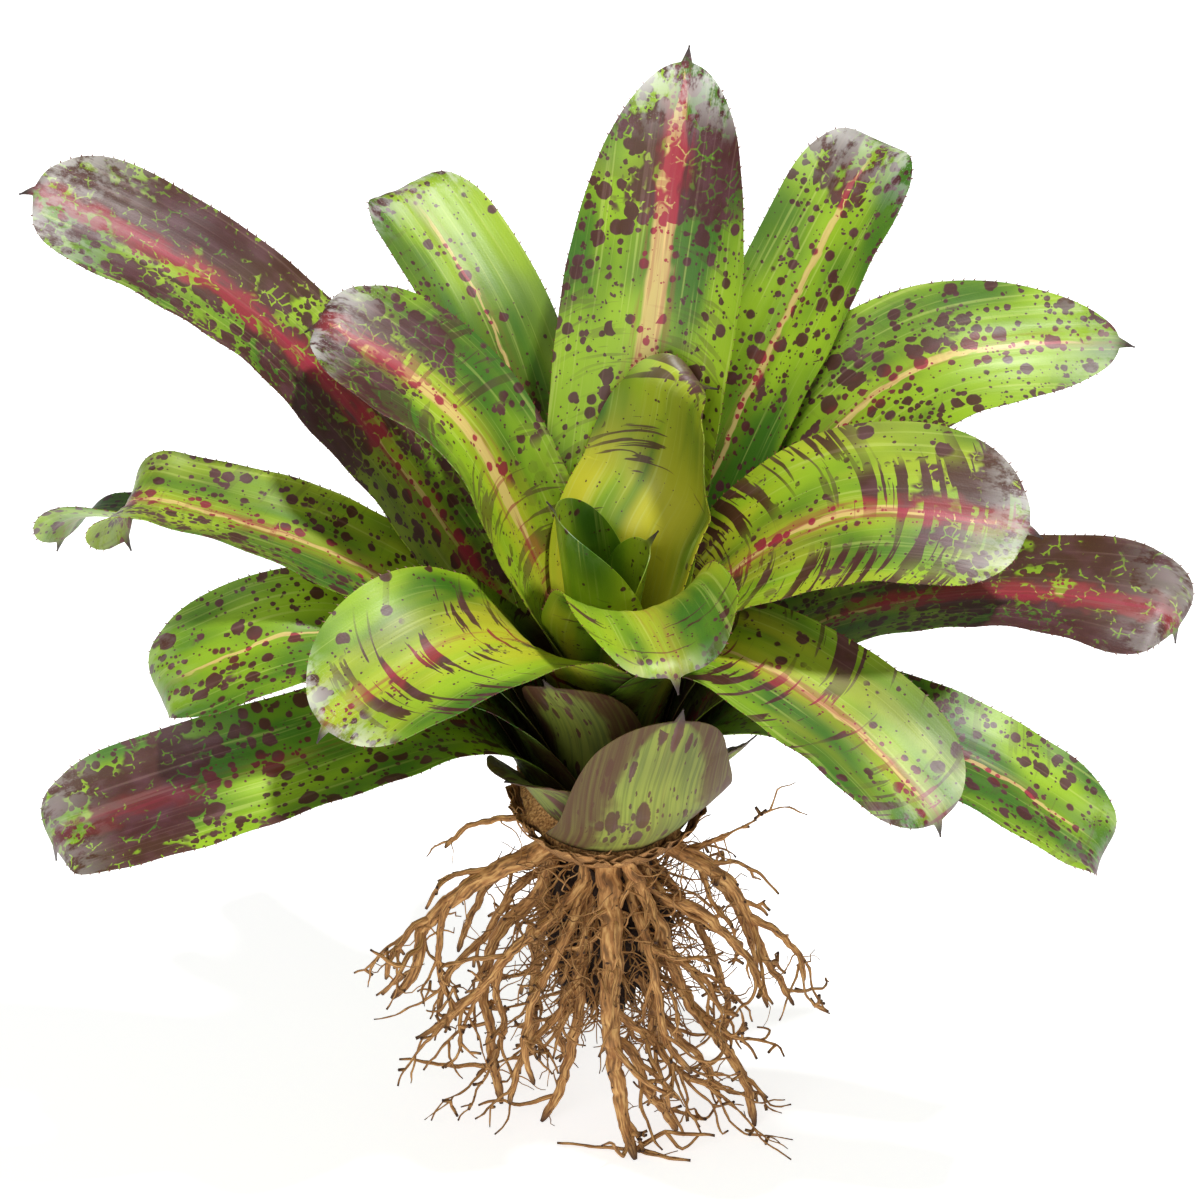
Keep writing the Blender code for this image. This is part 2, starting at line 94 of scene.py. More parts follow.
# One row for each leaf, youngest first: bearing, then mid and tip of the midrib as (bearing, reach, rise),
# width, sheath facets to a side, trough radius, roll at mid and tip, curl length and angle, taper, and
# True for a leaf without a neck.
Leaf = namedtuple("Leaf", "name turn mid tip width clasp channel roll curl taper neckless",
                  defaults=(0.75, False))
LEAVES = (
    Leaf("heart_leaf_inner", 250, (250, 7, 70), (250, 8, 106), 24, 4, 9, (0, 0), (5, 20), 0.75, True),
    Leaf("heart_leaf_outer", 20, (20, 10, 86), (20, 15, 122), 36, 4, 15, (0, 0), (6, 30), 0.75, True),
    Leaf("cup_leaf_rolled", 190, (190, 14, 84), (186, 20, 147), 84, 6, 18, (0, 0), (3, 30), 0.9, True),
    Leaf("cup_leaf_back", 65, (60, 43, 131), (57, 51, 167), 74, 4, 38, (0, 0), (14, 110)),
    Leaf("cup_leaf_front", 285, (286, 46, 138), (286, 80, 147), 74, 4, 42, (0, 0), (12, 60), 0.5),
    Leaf("leaf_upper_left", 152, (154, 66, 174), (156, 112, 202), 64, 4, 52, (0, -10), (12, 70)),
    Leaf("leaf_top", 80, (77, 94, 212), (78, 149, 257), 74, 4, 60, (0, 0), (0, 0), 1.2),
    Leaf("leaf_right", 356, (355, 94, 156), (354, 158, 156), 72, 4, 90, (20, 25), (4, 30)),
    Leaf("leaf_front_left", 228, (226, 83, 136), (222, 136, 128), 76, 4, 80, (-6, -8), (8, 40)),
    Leaf("leaf_front_right", 322, (322, 112, 106), (319, 160, 94), 61, 4, 80, (0, 0), (8, 60)),
    Leaf("leaf_back_right", 50, (49, 112, 188), (51, 162, 224), 52, 3, 70, (0, 0), (14, 80)),
    Leaf("leaf_back_left", 118, (119, 103, 180), (121, 148, 202), 52, 3, 70, (0, 0), (16, 80)),
    Leaf("leaf_upper_right", 28, (24, 140, 178), (20, 208, 176), 70, 3, 80, (20, 30), (6, 20), 1.5),
    Leaf("sheath_inner", 254, (252, 34, 62), (243, 50, 98), 52, 3, 40, (0, 0), (0, 0), 0.9, True),
    Leaf("leaf_far_left", 154, (155, 170, 206), (158, 234, 236), 54, 3, 70, (-10, -20), (6, 50)),
    Leaf("leaf_left", 180, (182, 112, 134), (177, 172, 147), 58, 3, 60, (4, 12), (36, 110)),
    Leaf("leaf_far_right", 352, (355, 152, 120), (352, 210, 126), 54, 3, 60, (0, 20), (16, 90)),
    Leaf("leaf_low_left", 198, (198, 124, 121), (196, 172, 106), 58, 3, 70, (-10, -10), (14, 80)),
    Leaf("leaf_low_right", 330, (332, 160, 86), (334, 206, 62), 54, 3, 70, (0, 0), (12, 80)),
    Leaf("leaf_edge_left", 166, (166, 150, 108), (165, 208, 101), 44, 3, 40, (20, 30), (30, 60)),
    Leaf("leaf_lowest_left", 208, (208, 154, 80), (202, 222, 60), 54, 3, 70, (-20, -20), (14, 70)),
    Leaf("sheath_left", 238, (238, 57, 50), (240, 76, 68), 42, 3, 50, (0, 0), (0, 0), 0.9, True),
    Leaf("sheath_right", 312, (314, 51, 39), (324, 66, 62), 46, 3, 50, (0, 0), (0, 0), 0.9, True),
    Leaf("leaf_behind_right", 66, (64, 130, 100), (62, 196, 76), 54, 3, 70, (0, 0), (12, 60)),
    Leaf("leaf_behind_left", 112, (114, 128, 92), (118, 190, 64), 54, 3, 70, (0, 0), (12, 60)),
    Leaf("leaf_behind_middle", 88, (88, 116, 75), (87, 167, 60), 54, 3, 70, (0, 0), (12, 60)),
    Leaf("sheath_front", 282, (285, 64, 50), (291, 76, 105), 68, 3, 50, (0, 0), (0, 0), 0.95, True),
)

# How each leaf is marked, by name. spots is the share of skin under maroon marks at the blade's base and at
# its tip, and ripens is where along the blade the second takes over. bands turns round marks into wavy
# crossbars. cream is the half width in mm of the midrib's pale stripe, and crimson, yellow and silver are
# amounts of those colours. wave is the ruffle of the margin in mm.
Look = namedtuple("Look", "spots ripens bands cream crimson yellow silver wave")
LOOKS = {
    "heart_leaf_inner": Look((0.10, 0.15), 0.8, 0.0, 0.0, 0.0, 0.5, 0.0, 0.2),
    "heart_leaf_outer": Look((0.12, 0.20), 0.8, 0.0, 0.0, 0.0, 0.6, 0.0, 0.3),
    "cup_leaf_rolled": Look((0.10, 0.55), 0.8, 0.3, 0.0, 0.3, 0.4, 0.1, 0.6),
    "cup_leaf_back": Look((0.12, 0.70), 0.80, 0.9, 0.0, 0.0, 1.0, 0.0, 0.8),
    "cup_leaf_front": Look((0.22, 0.46), 0.7, 1.0, 0.0, 0.5, 0.9, 0.4, 0.9),
    "leaf_upper_left": Look((0.40, 0.70), 0.60, 0.7, 3.2, 0.8, 0.6, 0.9, 1.2),
    "leaf_top": Look((0.42, 0.70), 0.66, 0.4, 5.0, 0.5, 0.1, 1.0, 0.8),
    "leaf_right": Look((0.46, 0.62), 0.66, 1.0, 1.6, 0.9, 0.7, 0.9, 1.2),
    "leaf_front_left": Look((0.34, 0.46), 0.7, 1.0, 0.0, 0.9, 0.9, 1.0, 1.2),
    "leaf_front_right": Look((0.36, 0.52), 0.72, 1.0, 1.3, 0.8, 0.7, 0.4, 1.2),
    "leaf_back_right": Look((0.44, 0.62), 0.8, 0.0, 1.5, 0.2, 0.0, 0.7, 1.0),
    "leaf_back_left": Look((0.24, 0.62), 0.88, 0.2, 0.8, 0.2, 0.2, 0.8, 1.0),
    "leaf_upper_right": Look((0.44, 0.56), 0.8, 0.1, 1.4, 0.4, 0.1, 0.3, 1.0),
    "sheath_inner": Look((0.34, 0.56), 0.5, 0.0, 0.0, 0.1, 0.2, 0.0, 0.5),
    "leaf_far_left": Look((0.56, 0.74), 0.3, 0.3, 0.8, 1.0, 0.3, 0.6, 1.4),
    "leaf_left": Look((0.40, 0.52), 0.6, 0.3, 1.4, 0.9, 0.5, 0.3, 1.2),
    "leaf_far_right": Look((0.46, 0.80), 0.45, 0.3, 0.8, 0.9, 0.3, 0.4, 1.4),
    "leaf_low_left": Look((0.40, 0.48), 0.7, 0.0, 0.9, 0.2, 0.0, 0.2, 1.2),
    "leaf_low_right": Look((0.42, 0.52), 0.8, 0.3, 1.0, 0.2, 0.0, 0.2, 1.2),
    "leaf_edge_left": Look((0.30, 0.44), 0.6, 0.2, 0.0, 0.5, 0.4, 0.2, 0.5),
    "leaf_lowest_left": Look((0.44, 0.74), 0.6, 0.0, 0.0, 0.3, 0.0, 0.4, 1.4),
    "sheath_front": Look((0.40, 0.46), 0.7, 0.0, 0.0, 0.1, 0.3, 0.0, 0.4),
}
for side in ("left", "right"):
    LOOKS["sheath_" + side] = Look((0.40, 0.54), 0.6, 0.0, 0.0, 0.1, 0.1, 0.0, 0.5)
for side in ("left", "middle", "right"):
    LOOKS["leaf_behind_" + side] = Look((0.42, 0.66), 0.6, 0.2, 2.4, 0.3, 0.1, 0.4, 1.4)

# The main roots, in mm: radius at the start and at the end, then the route, with z from the floor.
ROOTS = (
    (6.2, 2.0, (0, -12, 130), (0, -26, 113), (2, -39, 87), (1, -48, 53), (4, -53, 31), (7, -57, 14),
     (11, -61, 0)),
    (1.8, 1.0, (-22, -10, 130), (-29, -12, 129), (-45, -10, 128), (-58, -10, 123), (-66, -10, 115)),
    (5.4, 1.6, (-14, -12, 132), (-26, -15, 117), (-47, -18, 108), (-62, -20, 97), (-75, -20, 83),
     (-80, -20, 62), (-88, -20, 52)),
    (2.2, 1.0, (-58, -19, 100), (-65, -22, 94), (-68, -22, 83), (-68, -22, 67), (-62, -22, 43)),
    (3.6, 1.2, (-6, -16, 122), (-13, -25, 101), (-24, -27, 90), (-38, -28, 78), (-49, -28, 64),
     (-60, -28, 51), (-78, -28, 38)),
    (3.2, 1.8, (-18, -8, 118), (-31, -11, 91), (-45, -12, 77), (-50, -12, 63), (-48, -12, 31),
     (-44, -12, 0)),
    (3.2, 1.8, (-4, -14, 124), (-8, -24, 93), (-11, -27, 73), (-12, -28, 50), (-15, -28, 32),
     (-19, -28, 17), (-27, -28, 0)),
    (3.6, 1.8, (2, -18, 134), (5, -27, 124), (13, -29, 106), (22, -29, 85), (28, -29, 65), (39, -31, 47),
     (55, -32, 23), (60, -32, 0)),
    (4.2, 1.2, (12, -8, 132), (22, -12, 118), (38, -14, 110), (49, -14, 100), (58, -14, 86),
     (63, -14, 71), (76, -14, 46)),
    (1.8, 1.0, (16, -6, 120), (26, -8, 115), (38, -8, 115), (50, -8, 121)),
    (3.2, 1.2, (10, -14, 118), (21, -22, 100), (36, -24, 94), (47, -24, 84), (57, -24, 71),
     (65, -24, 50)),
    (2.0, 1.0, (1, -47, 60), (9, -43, 52), (17, -41, 45), (28, -42, 31), (38, -42, 25), (46, -42, 18)),
    (2.4, 1.6, (2, -46, 48), (10, -45, 40), (16, -43, 22), (22, -39, 12), (28, -36, 0)),
    (1.8, 1.0, (25, -28, 78), (32, -30, 72), (40, -30, 64), (44, -30, 55), (53, -30, 49)),
    (1.8, 1.0, (-44, -28, 71), (-45, -26, 60), (-43, -24, 43), (-46, -24, 27), (-54, -24, 19)),
    (3.4, 1.8, (-10, 2, 122), (-20, 10, 96), (-28, 20, 64), (-31, 28, 30), (-33, 34, 0)),
    (3.6, 1.8, (8, 4, 122), (16, 14, 94), (21, 24, 62), (20, 32, 30), (24, 38, 0)),
    (3.0, 1.2, (-12, 4, 120), (-34, 14, 102), (-52, 20, 80), (-62, 24, 52)),
    (3.0, 1.2, (12, 2, 120), (36, 10, 100), (54, 16, 74), (62, 18, 46)),
    (2.4, 1.2, (0, 6, 118), (-2, 26, 98), (-6, 40, 70), (-4, 46, 44)),
    (2.6, 1.2, (-6, -20, 110), (-14, -32, 92), (-26, -40, 70), (-34, -44, 46), (-30, -46, 26)),
    (2.6, 1.2, (6, -20, 108), (14, -34, 88), (20, -42, 66), (24, -46, 46), (34, -48, 32)),
    (2.2, 1.2, (-8, -2, 112), (-36, 4, 92), (-52, 6, 66), (-66, 4, 50), (-70, 2, 34)),
    (2.2, 1.2, (14, 0, 108), (32, 2, 84), (44, 4, 58), (50, 6, 34), (46, 8, 16)),
    (2.0, 1.2, (-4, -18, 74), (-22, -34, 50), (-36, -38, 32), (-40, -40, 14)),
    (2.0, 1.2, (10, -22, 66), (26, -24, 40), (40, -22, 22), (46, -24, 8)),
    (2.0, 1.2, (-6, 4, 66), (-14, 12, 40), (-20, 16, 16), (-16, 18, 4)),
    (2.0, 1.2, (10, 2, 60), (18, 4, 36), (16, 10, 12)),
    (1.8, 1.0, (-70, -20, 90), (-80, -24, 84), (-88, -26, 72), (-90, -26, 64)),
    (1.8, 1.0, (58, -14, 86), (68, -18, 82), (78, -20, 70), (80, -20, 60)),
)

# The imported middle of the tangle, as its centre and half its size. Side roots grow away from ROOT_AXIS.
CORE = ((0.000, -0.008, 0.084), (0.025, 0.020, 0.042))
ROOT_AXIS = (0, -0.012)

# Forms of the fine leaf: the midrib's groove, the ribs beside it, the margin's long and short waves, the
# twist, the dry foot of a sheath and the dark point. No leaf comes nearer the floor than FLOOR_ROOM.
GROOVE_WIDTH = 0.0022
RIB_PITCH = 0.0062
RUFFLE_PITCHES = (0.0697, 0.0266)
TWIST_PITCH = 0.09
HUSK_LENGTH = 0.012
DARK_POINT = 0.010
FLOOR_ROOM = 0.0004
CUP_LEAVES = 5

# In linear light: veins in green skin, in a sheath and in a mark, and the dry black point.
VEIN = (0.50, 0.56, 0.14, 1)
SHEATH_VEIN = (0.10, 0.10, 0.022, 1)
MARK_VEIN = (0.30, 0.16, 0.16, 1)
DRY_POINT = (0.035, 0.022, 0.02, 1)

# What weathering leaves of each colour of bark.
WEATHERED = (0.62, 0.50, 0.40, 1)

# The radius of the circle that carries a root's bark pattern.
USUAL_ROOT = 0.0025

# The share of a turn from one collar scale to the next.
GOLDEN = 0.382

# The photograph's width and height, and the crown's place in it, in pixels.
PICTURE_SIZE = 1200
CROWN_PIXEL = (608, 790)


def srgb(code):
    """A hex colour as linear light."""
    parts = [int(code[i : i + 2], 16) / 255 for i in (1, 3, 5)]
    return tuple(c / 12.92 if c <= 0.04045 else ((c + 0.055) / 1.055) ** 2.4 for c in parts)


def colour(name, description, code):
    return FloatVectorProperty(name=name, description=description, subtype="COLOR", size=3, min=0, max=1,
                               default=srgb(code))


def length(name, description, default):
    return FloatProperty(name=name, description=description, subtype="DISTANCE", unit="LENGTH", min=0,
                         default=default)


def whole(name, description, default):
    return IntProperty(name=name, description=description, min=0, default=default)


def strength(name, description, default):
    return FloatProperty(name=name, description=description, min=0, default=default)


class LeafSettings(PropertyGroup):
    rows: whole("Rows", "Steps along a leaf", 104)
    columns: whole("Columns", "Steps across a leaf", 28)
    thickness: length("Thickness", "Blade thickness along the midrib", 0.0007)
    margin: length("Margin", "Blade thickness at the margin", 0.00035)
    groove: length("Midrib groove", "Depth of the crease along the midrib", 0.0006)
    ribs: length("Ribs", "Height of the long ribs that run beside the midrib", 0.00016)
    spot_size: length("Spot size", "Width of a typical maroon mark", 0.0062)
    vein_pitch: length("Vein pitch", "Distance between the fine lengthwise veins", 0.0013)
    spine_pitch: length("Spine pitch", "Distance between two spines on a margin", 0.0042)
    spine_length: length("Spine length", "Length of a margin spine", 0.0013)
    lime: colour("Lime", "Young, sunlit skin", "#86A61C")
    green: colour("Green", "Deeper green of older skin", "#35600F")
    yellow: colour("Yellow", "Yellow flush near the cup", "#B8B22A")
    maroon: colour("Maroon", "The marks", "#3E0F18")
    purple: colour("Purple brown", "The marks where they fade", "#4E2330")
    crimson: colour("Crimson", "Streaks along the midrib", "#8E1A34")
    cream: colour("Cream", "The pale stripe", "#D6B276")
    silver: colour("Silver", "Scurf at the blade's end", "#D4D4CE")
    sheath: colour("Sheath", "Pale green of the clasping base", "#7E8038")
    husk: colour("Husk", "Dry brown margin of an old sheath", "#4A2A12")
    prickle: colour("Prickle", "Horny margin spine", "#6B3A2A")


class RootSettings(PropertyGroup):
    seed: whole("Seed", "Seed of the side roots and rootlets", 7)
    side_roots: whole("Side roots", "How many side roots branch off", 150)
    stubs: whole("Stubs", "How many short broken stubs", 260)
    rootlets: whole("Rootlets", "How many fine rootlets fill the tangle", 520)
    scales: whole("Collar scales", "How many papery scales stand round the crown", 34)
    root_hairs: whole("Root hairs", "How many fine rootlets each main root may bear", 9)
    crinkle: length("Crinkle", "Sideways wander of a root's path", 0.0011)
    ridge: length("Ridge", "Height of the bark's ridges", 0.00035)
    bark: colour("Bark", "Dry woody root", "#AE7A44")
    bark_light: colour("Light bark", "Rubbed and young root", "#D4A768")
    bark_dark: colour("Dark bark", "Cracks and root tips", "#3C2210")
    # Painted shade: this near-black colour goes on a ball inside the tangle, where the roots' own shadow
    # falls.
    core: colour("Core", "Packed dark middle of the tangle", "#1C110A")


class StageSettings(PropertyGroup):
    elevation: FloatProperty(name="Camera elevation", description="Angle above the horizon",
                             subtype="ANGLE", default=math.radians(22))
    distance: length("Camera distance", "From the crown to the camera", 2.2)
    frame_width: length("Frame width", "Width of the picture at the crown", 0.486)
    floor_size: length("Floor size", "Width and depth of the white floor", 28.0)
    key: strength("Key", "Strength of the key light", 3.6)
    sky: strength("Sky", "Strength of the even light all round", 0.28)
    fill: strength("Fill", "Power of the fill light near the camera", 20.0)
    glow: strength("Glow", "Light that the white floor gives of itself", 0.72)


def smooth(x):
    """0 below 0, 1 above 1, and an even ease between."""
    x = np.clip(x, 0.0, 1.0)
    return x * x * (3 - 2 * x)


def unit(v):
    return v / np.linalg.norm(v, axis=-1, keepdims=True)


def polar(turn, reach, rise):
    a = math.radians(turn)
    return np.array((reach * math.cos(a), reach * math.sin(a), rise)) * MM


def foot_radius(ring):
    return HEART_RADIUS + NEST_PITCH * ring


def foot_rise(ring):
    return (foot_radius(len(LEAVES) - 1) - foot_radius(ring)) * CROWN_TAPER


def neck(leaf, share):
    """Where the sheath ends and the blade begins to lean out: lower and wider for older leaves."""
    reach = HEART_NECK[0] + (OUTER_NECK[0] - HEART_NECK[0]) * share ** 0.6
    rise = HEART_NECK[1] + (OUTER_NECK[1] - HEART_NECK[1]) * share ** 1.2
    return polar(leaf.turn, reach, rise)


def through(knots, *pulls):
    """A smooth path through the knots, with its last direction. pulls are the first knots' directions."""
    chords = np.linalg.norm(np.diff(knots, axis=0), axis=1)
    slopes = list(pulls)
    for i in range(len(pulls), len(knots) - 1):
        before = (knots[i] - knots[i - 1]) / chords[i - 1]
        after = (knots[i + 1] - knots[i]) / chords[i]
        slopes.append((before * chords[i] + after * chords[i - 1]) / (chords[i - 1] + chords[i]))
    slopes.append(unit(1.5 * (knots[-1] - knots[-2]) / chords[-1] - 0.5 * slopes[-1]))
    t = np.linspace(0, 1, PATH_STEPS, endpoint=False)[:, None]
    path = [
        (2 * t**3 - 3 * t**2 + 1) * knots[i] + (t**3 - 2 * t**2 + t) * slopes[i] * chords[i]
        + (3 * t**2 - 2 * t**3) * knots[i + 1] + (t**3 - t**2) * slopes[i + 1] * chords[i]
        for i in range(len(chords))
    ]
    return np.concatenate(path + [knots[-1:]]), slopes[-1]


def midrib(leaf, ring, count):
    """Points, tangents, bearings and stations along a leaf's midrib, from its foot to its very end."""
    share = ring / (len(LEAVES) - 1)
    flare = math.radians(HEART_FLARE + (OUTER_FLARE - HEART_FLARE) * share ** 1.4)
    a = math.radians(leaf.turn)
    out = np.array((math.cos(a), math.sin(a), 0.0))
    foot = out * foot_radius(ring) + np.array((0, 0, foot_rise(ring)))
    mid, tip = polar(*leaf.mid), polar(*leaf.tip)
    knots = [foot, mid, tip] if leaf.neckless else [foot, neck(leaf, share), mid, tip]
    start = out * math.sin(flare) + np.array((0, 0, math.cos(flare)))
    lean = math.radians(NECK_LEAN[0] + (NECK_LEAN[1] - NECK_LEAN[0]) * share)
    rising = out * math.sin(lean) + np.array((0, 0, math.cos(lean)))
    path, onward = through(np.array(knots), *([start] if leaf.neckless else [start, rising]))
    reach, bend = leaf.curl[0] * MM + POINT_LENGTH, math.radians(leaf.curl[1])
    side = unit(np.cross((0, 0, 1), onward))
    down = unit(np.cross(side, onward))
    steps = np.linspace(0, 1, 30)[1:, None]
    turned = bend * smooth(steps * 1.2)
    curled = tip + np.cumsum((onward * np.cos(turned) + down * np.sin(turned)) * reach / len(steps), axis=0)
    path = np.concatenate([path, curled])

    pieces = np.diff(path, axis=0)
    run = np.concatenate([[0], np.cumsum(np.linalg.norm(pieces, axis=1))])
    end = leaf.curl[0] * MM + POINT_LENGTH * 2
    sheath = min(run[PATH_STEPS] * 1.4, (run[-1] - end) * 0.94) if leaf.neckless else run[PATH_STEPS]
    stations = spread(count, run[-1], sheath, end)
    points = np.stack([np.interp(stations, run, axis) for axis in path.T], axis=1)
    middles = (run[1:] + run[:-1]) / 2
    tangents = unit(np.stack([np.interp(stations, middles, axis) for axis in unit(pieces).T], axis=1))
    heading = a if leaf.neckless else math.atan2(tip[1] - mid[1], tip[0] - mid[0])
    swing = (heading - a + math.pi) % (2 * math.pi) - math.pi
    bearings = a + swing * smooth((stations - sheath) / (run[-30] - sheath))
    return points, tangents, bearings, stations, (sheath, run[PATH_STEPS * (len(knots) - 2)], run[-30])


def spread(count, total, sheath, end):
    """Stations along a leaf, closer together over its bent end and its point."""
    low = np.linspace(0, sheath, round(count * 0.26), endpoint=False)
    tip = total - end + np.linspace(0, 1, round(count * 0.30)) ** 0.9 * end
    body = np.linspace(sheath, total - end, count - len(low) - len(tip), endpoint=False)
    return np.concatenate([low, body, tip])


def half_width(leaf, ring, stations, sheath):
    """Half the leaf's width measured along its curve: sheath, neck, blade, narrowing end and point."""
    total = stations[-1]
    full = leaf.width * MM / 2
    foot = foot_radius(ring) * math.radians(leaf.clasp * FACET_TURN)
    body = foot + (full - foot) * smooth(stations / sheath)
    body = body - full * 0.06 * smooth(1 - abs(stations - sheath * 1.25) / (sheath * 0.6))
    left = np.clip((total - POINT_LENGTH - stations) / (leaf.width * MM * leaf.taper), 0, 1)
    fullness = 2.6 if leaf.taper < 1 else 1.5
    body = body * np.sqrt(1 - (1 - left) ** fullness)
    point = 0.0022 * np.clip((total - stations) / POINT_LENGTH, 0.16, 1)
    return np.maximum(body, point)


def leaf_surface(leaf, ring, count, across):
    """A leaf's middle surface in the rosette's frame: points, normals, half widths, stations and sheath."""
    points, tangents, bearings, stations, (sheath, at_mid, at_tip) = midrib(leaf, ring, count)
    sides = np.stack([-np.sin(bearings), np.cos(bearings), 0 * bearings], axis=1)
    inward = np.stack([-np.cos(bearings), -np.sin(bearings), 0 * bearings], axis=1)
    opening = smooth((stations - sheath * 0.6) / (at_tip - sheath * 0.6) * 1.6)
    level = (1 - opening)[:, None]
    square = unit(sides - tangents * np.sum(sides * tangents, axis=1, keepdims=True))
    sides = unit(sides * level + square * (1 - level))
    inner = unit(inward * level + np.cross(tangents, square) * (1 - level))
    rolled = np.radians(np.interp(stations, (0, sheath, at_mid, at_tip), (0, 0, *leaf.roll)))[:, None]
    c, s = np.cos(rolled), np.sin(rolled)
    sides, inner = sides * c + inner * s, inner * c - sides * s

    half = half_width(leaf, ring, stations, sheath)
    clasp = np.linalg.norm(points[:, :2], axis=1)
    trough = clasp + (leaf.channel * MM - clasp) * opening
    offset = (round(leaf.turn / FACET_TURN) * FACET_TURN - leaf.turn) / (FACET_TURN * leaf.clasp)
    u = across[None, :] + offset * (1 - smooth(stations / sheath * 1.4 - 0.4))[:, None]
    bend = half[:, None] * u / trough[:, None]
    shift = trough[:, None] * np.sin(bend)
    rise = trough[:, None] * (1 - np.cos(bend))
    grid = points[:, None] + sides[:, None] * shift[..., None] + inner[:, None] * rise[..., None]
    normals = unit(np.cross(np.gradient(grid, axis=0), np.gradient(grid, axis=1)))
    return grid, normals, half, stations, sheath


def to_plant(points):
    """From the rosette's frame to the plant's: tip the axis forwards and lift it onto the crown."""
    c, s = math.cos(math.radians(LEAN)), math.sin(math.radians(LEAN))
    x, y, z = points[..., 0], points[..., 1], points[..., 2]
    return np.stack([x, y * c - z * s, y * s + z * c + CROWN_HEIGHT], axis=-1)


def add_node(tree, kind, inputs=None, **settings):
    """Adds a node, sets its settings, and sets or links its inputs."""
    made = tree.nodes.new(kind)
    for key, value in settings.items():
        setattr(made, key, value)
    for key, value in (inputs or {}).items():
        if isinstance(value, bpy.types.NodeSocket):
            tree.links.new(value, made.inputs[key])
        else:
            made.inputs[key].default_value = value
    return made


def new_material(name):
    """An empty procedural material, and the nodes to fill."""
    material = bpy.data.materials.new(name)
    material.use_nodes = True
    material.node_tree.nodes.clear()
    return material, Nodes(material.node_tree)


def add_piece(name, mesh, node=None, body="root"):
    """Puts a finished mesh in the scene as a piece that rides on the plant."""
    piece = bpy.data.objects.new(name, mesh)
    bpy.context.scene.collection.objects.link(piece)
    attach(piece, body)
    if node:
        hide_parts(node)
    return piece


class Nodes:
    """A node tree, with short ways to add the nodes that repeat. Each gives the new node's result."""

    def __init__(self, tree):
        self.tree = tree

    def attribute(self, name, output="Fac"):
        return add_node(self.tree, "ShaderNodeAttribute", attribute_name=name).outputs[output]

    def maths(self, operation, *values, clamp=False):
        inputs = dict(enumerate(values))
        return add_node(self.tree, "ShaderNodeMath", inputs, operation=operation, use_clamp=clamp).outputs[0]

    def vector(self, operation, *values, **named):
        inputs = {**dict(enumerate(values)), **named}
        return add_node(self.tree, "ShaderNodeVectorMath", inputs, operation=operation).outputs[0]

    def ramp(self, value, low, high, kind="LINEAR"):
        inputs = {"Value": value, "From Min": low, "From Max": high}
        return add_node(self.tree, "ShaderNodeMapRange", inputs, interpolation_type=kind).outputs[0]

    def step(self, value, low, high):
        return self.ramp(value, low, high, "SMOOTHSTEP")

    def blend(self, amount, below, above, mode="MIX"):
        inputs = {0: amount, 6: below, 7: above}
        return add_node(self.tree, "ShaderNodeMix", inputs, data_type="RGBA", blend_type=mode).outputs[2]

    def noise(self, place, scale, detail=2.0, roughness=0.5, distortion=0.0, output="Fac"):
        inputs = {"Vector": place, "Scale": scale, "Detail": detail, "Roughness": roughness,
                  "Distortion": distortion}
        return add_node(self.tree, "ShaderNodeTexNoise", inputs).outputs[output]

    def bump(self, strength, distance, height):
        inputs = {"Strength": strength, "Distance": distance, "Height": height}
        return add_node(self.tree, "ShaderNodeBump", inputs).outputs[0]

    def surface(self, inputs):
        """Ends a material: one shader with these inputs, and the output."""
        shader = add_node(self.tree, "ShaderNodeBsdfPrincipled", inputs)
        add_node(self.tree, "ShaderNodeOutputMaterial", {"Surface": shader.outputs[0]})


def rgba(value):
    return (*value, 1)


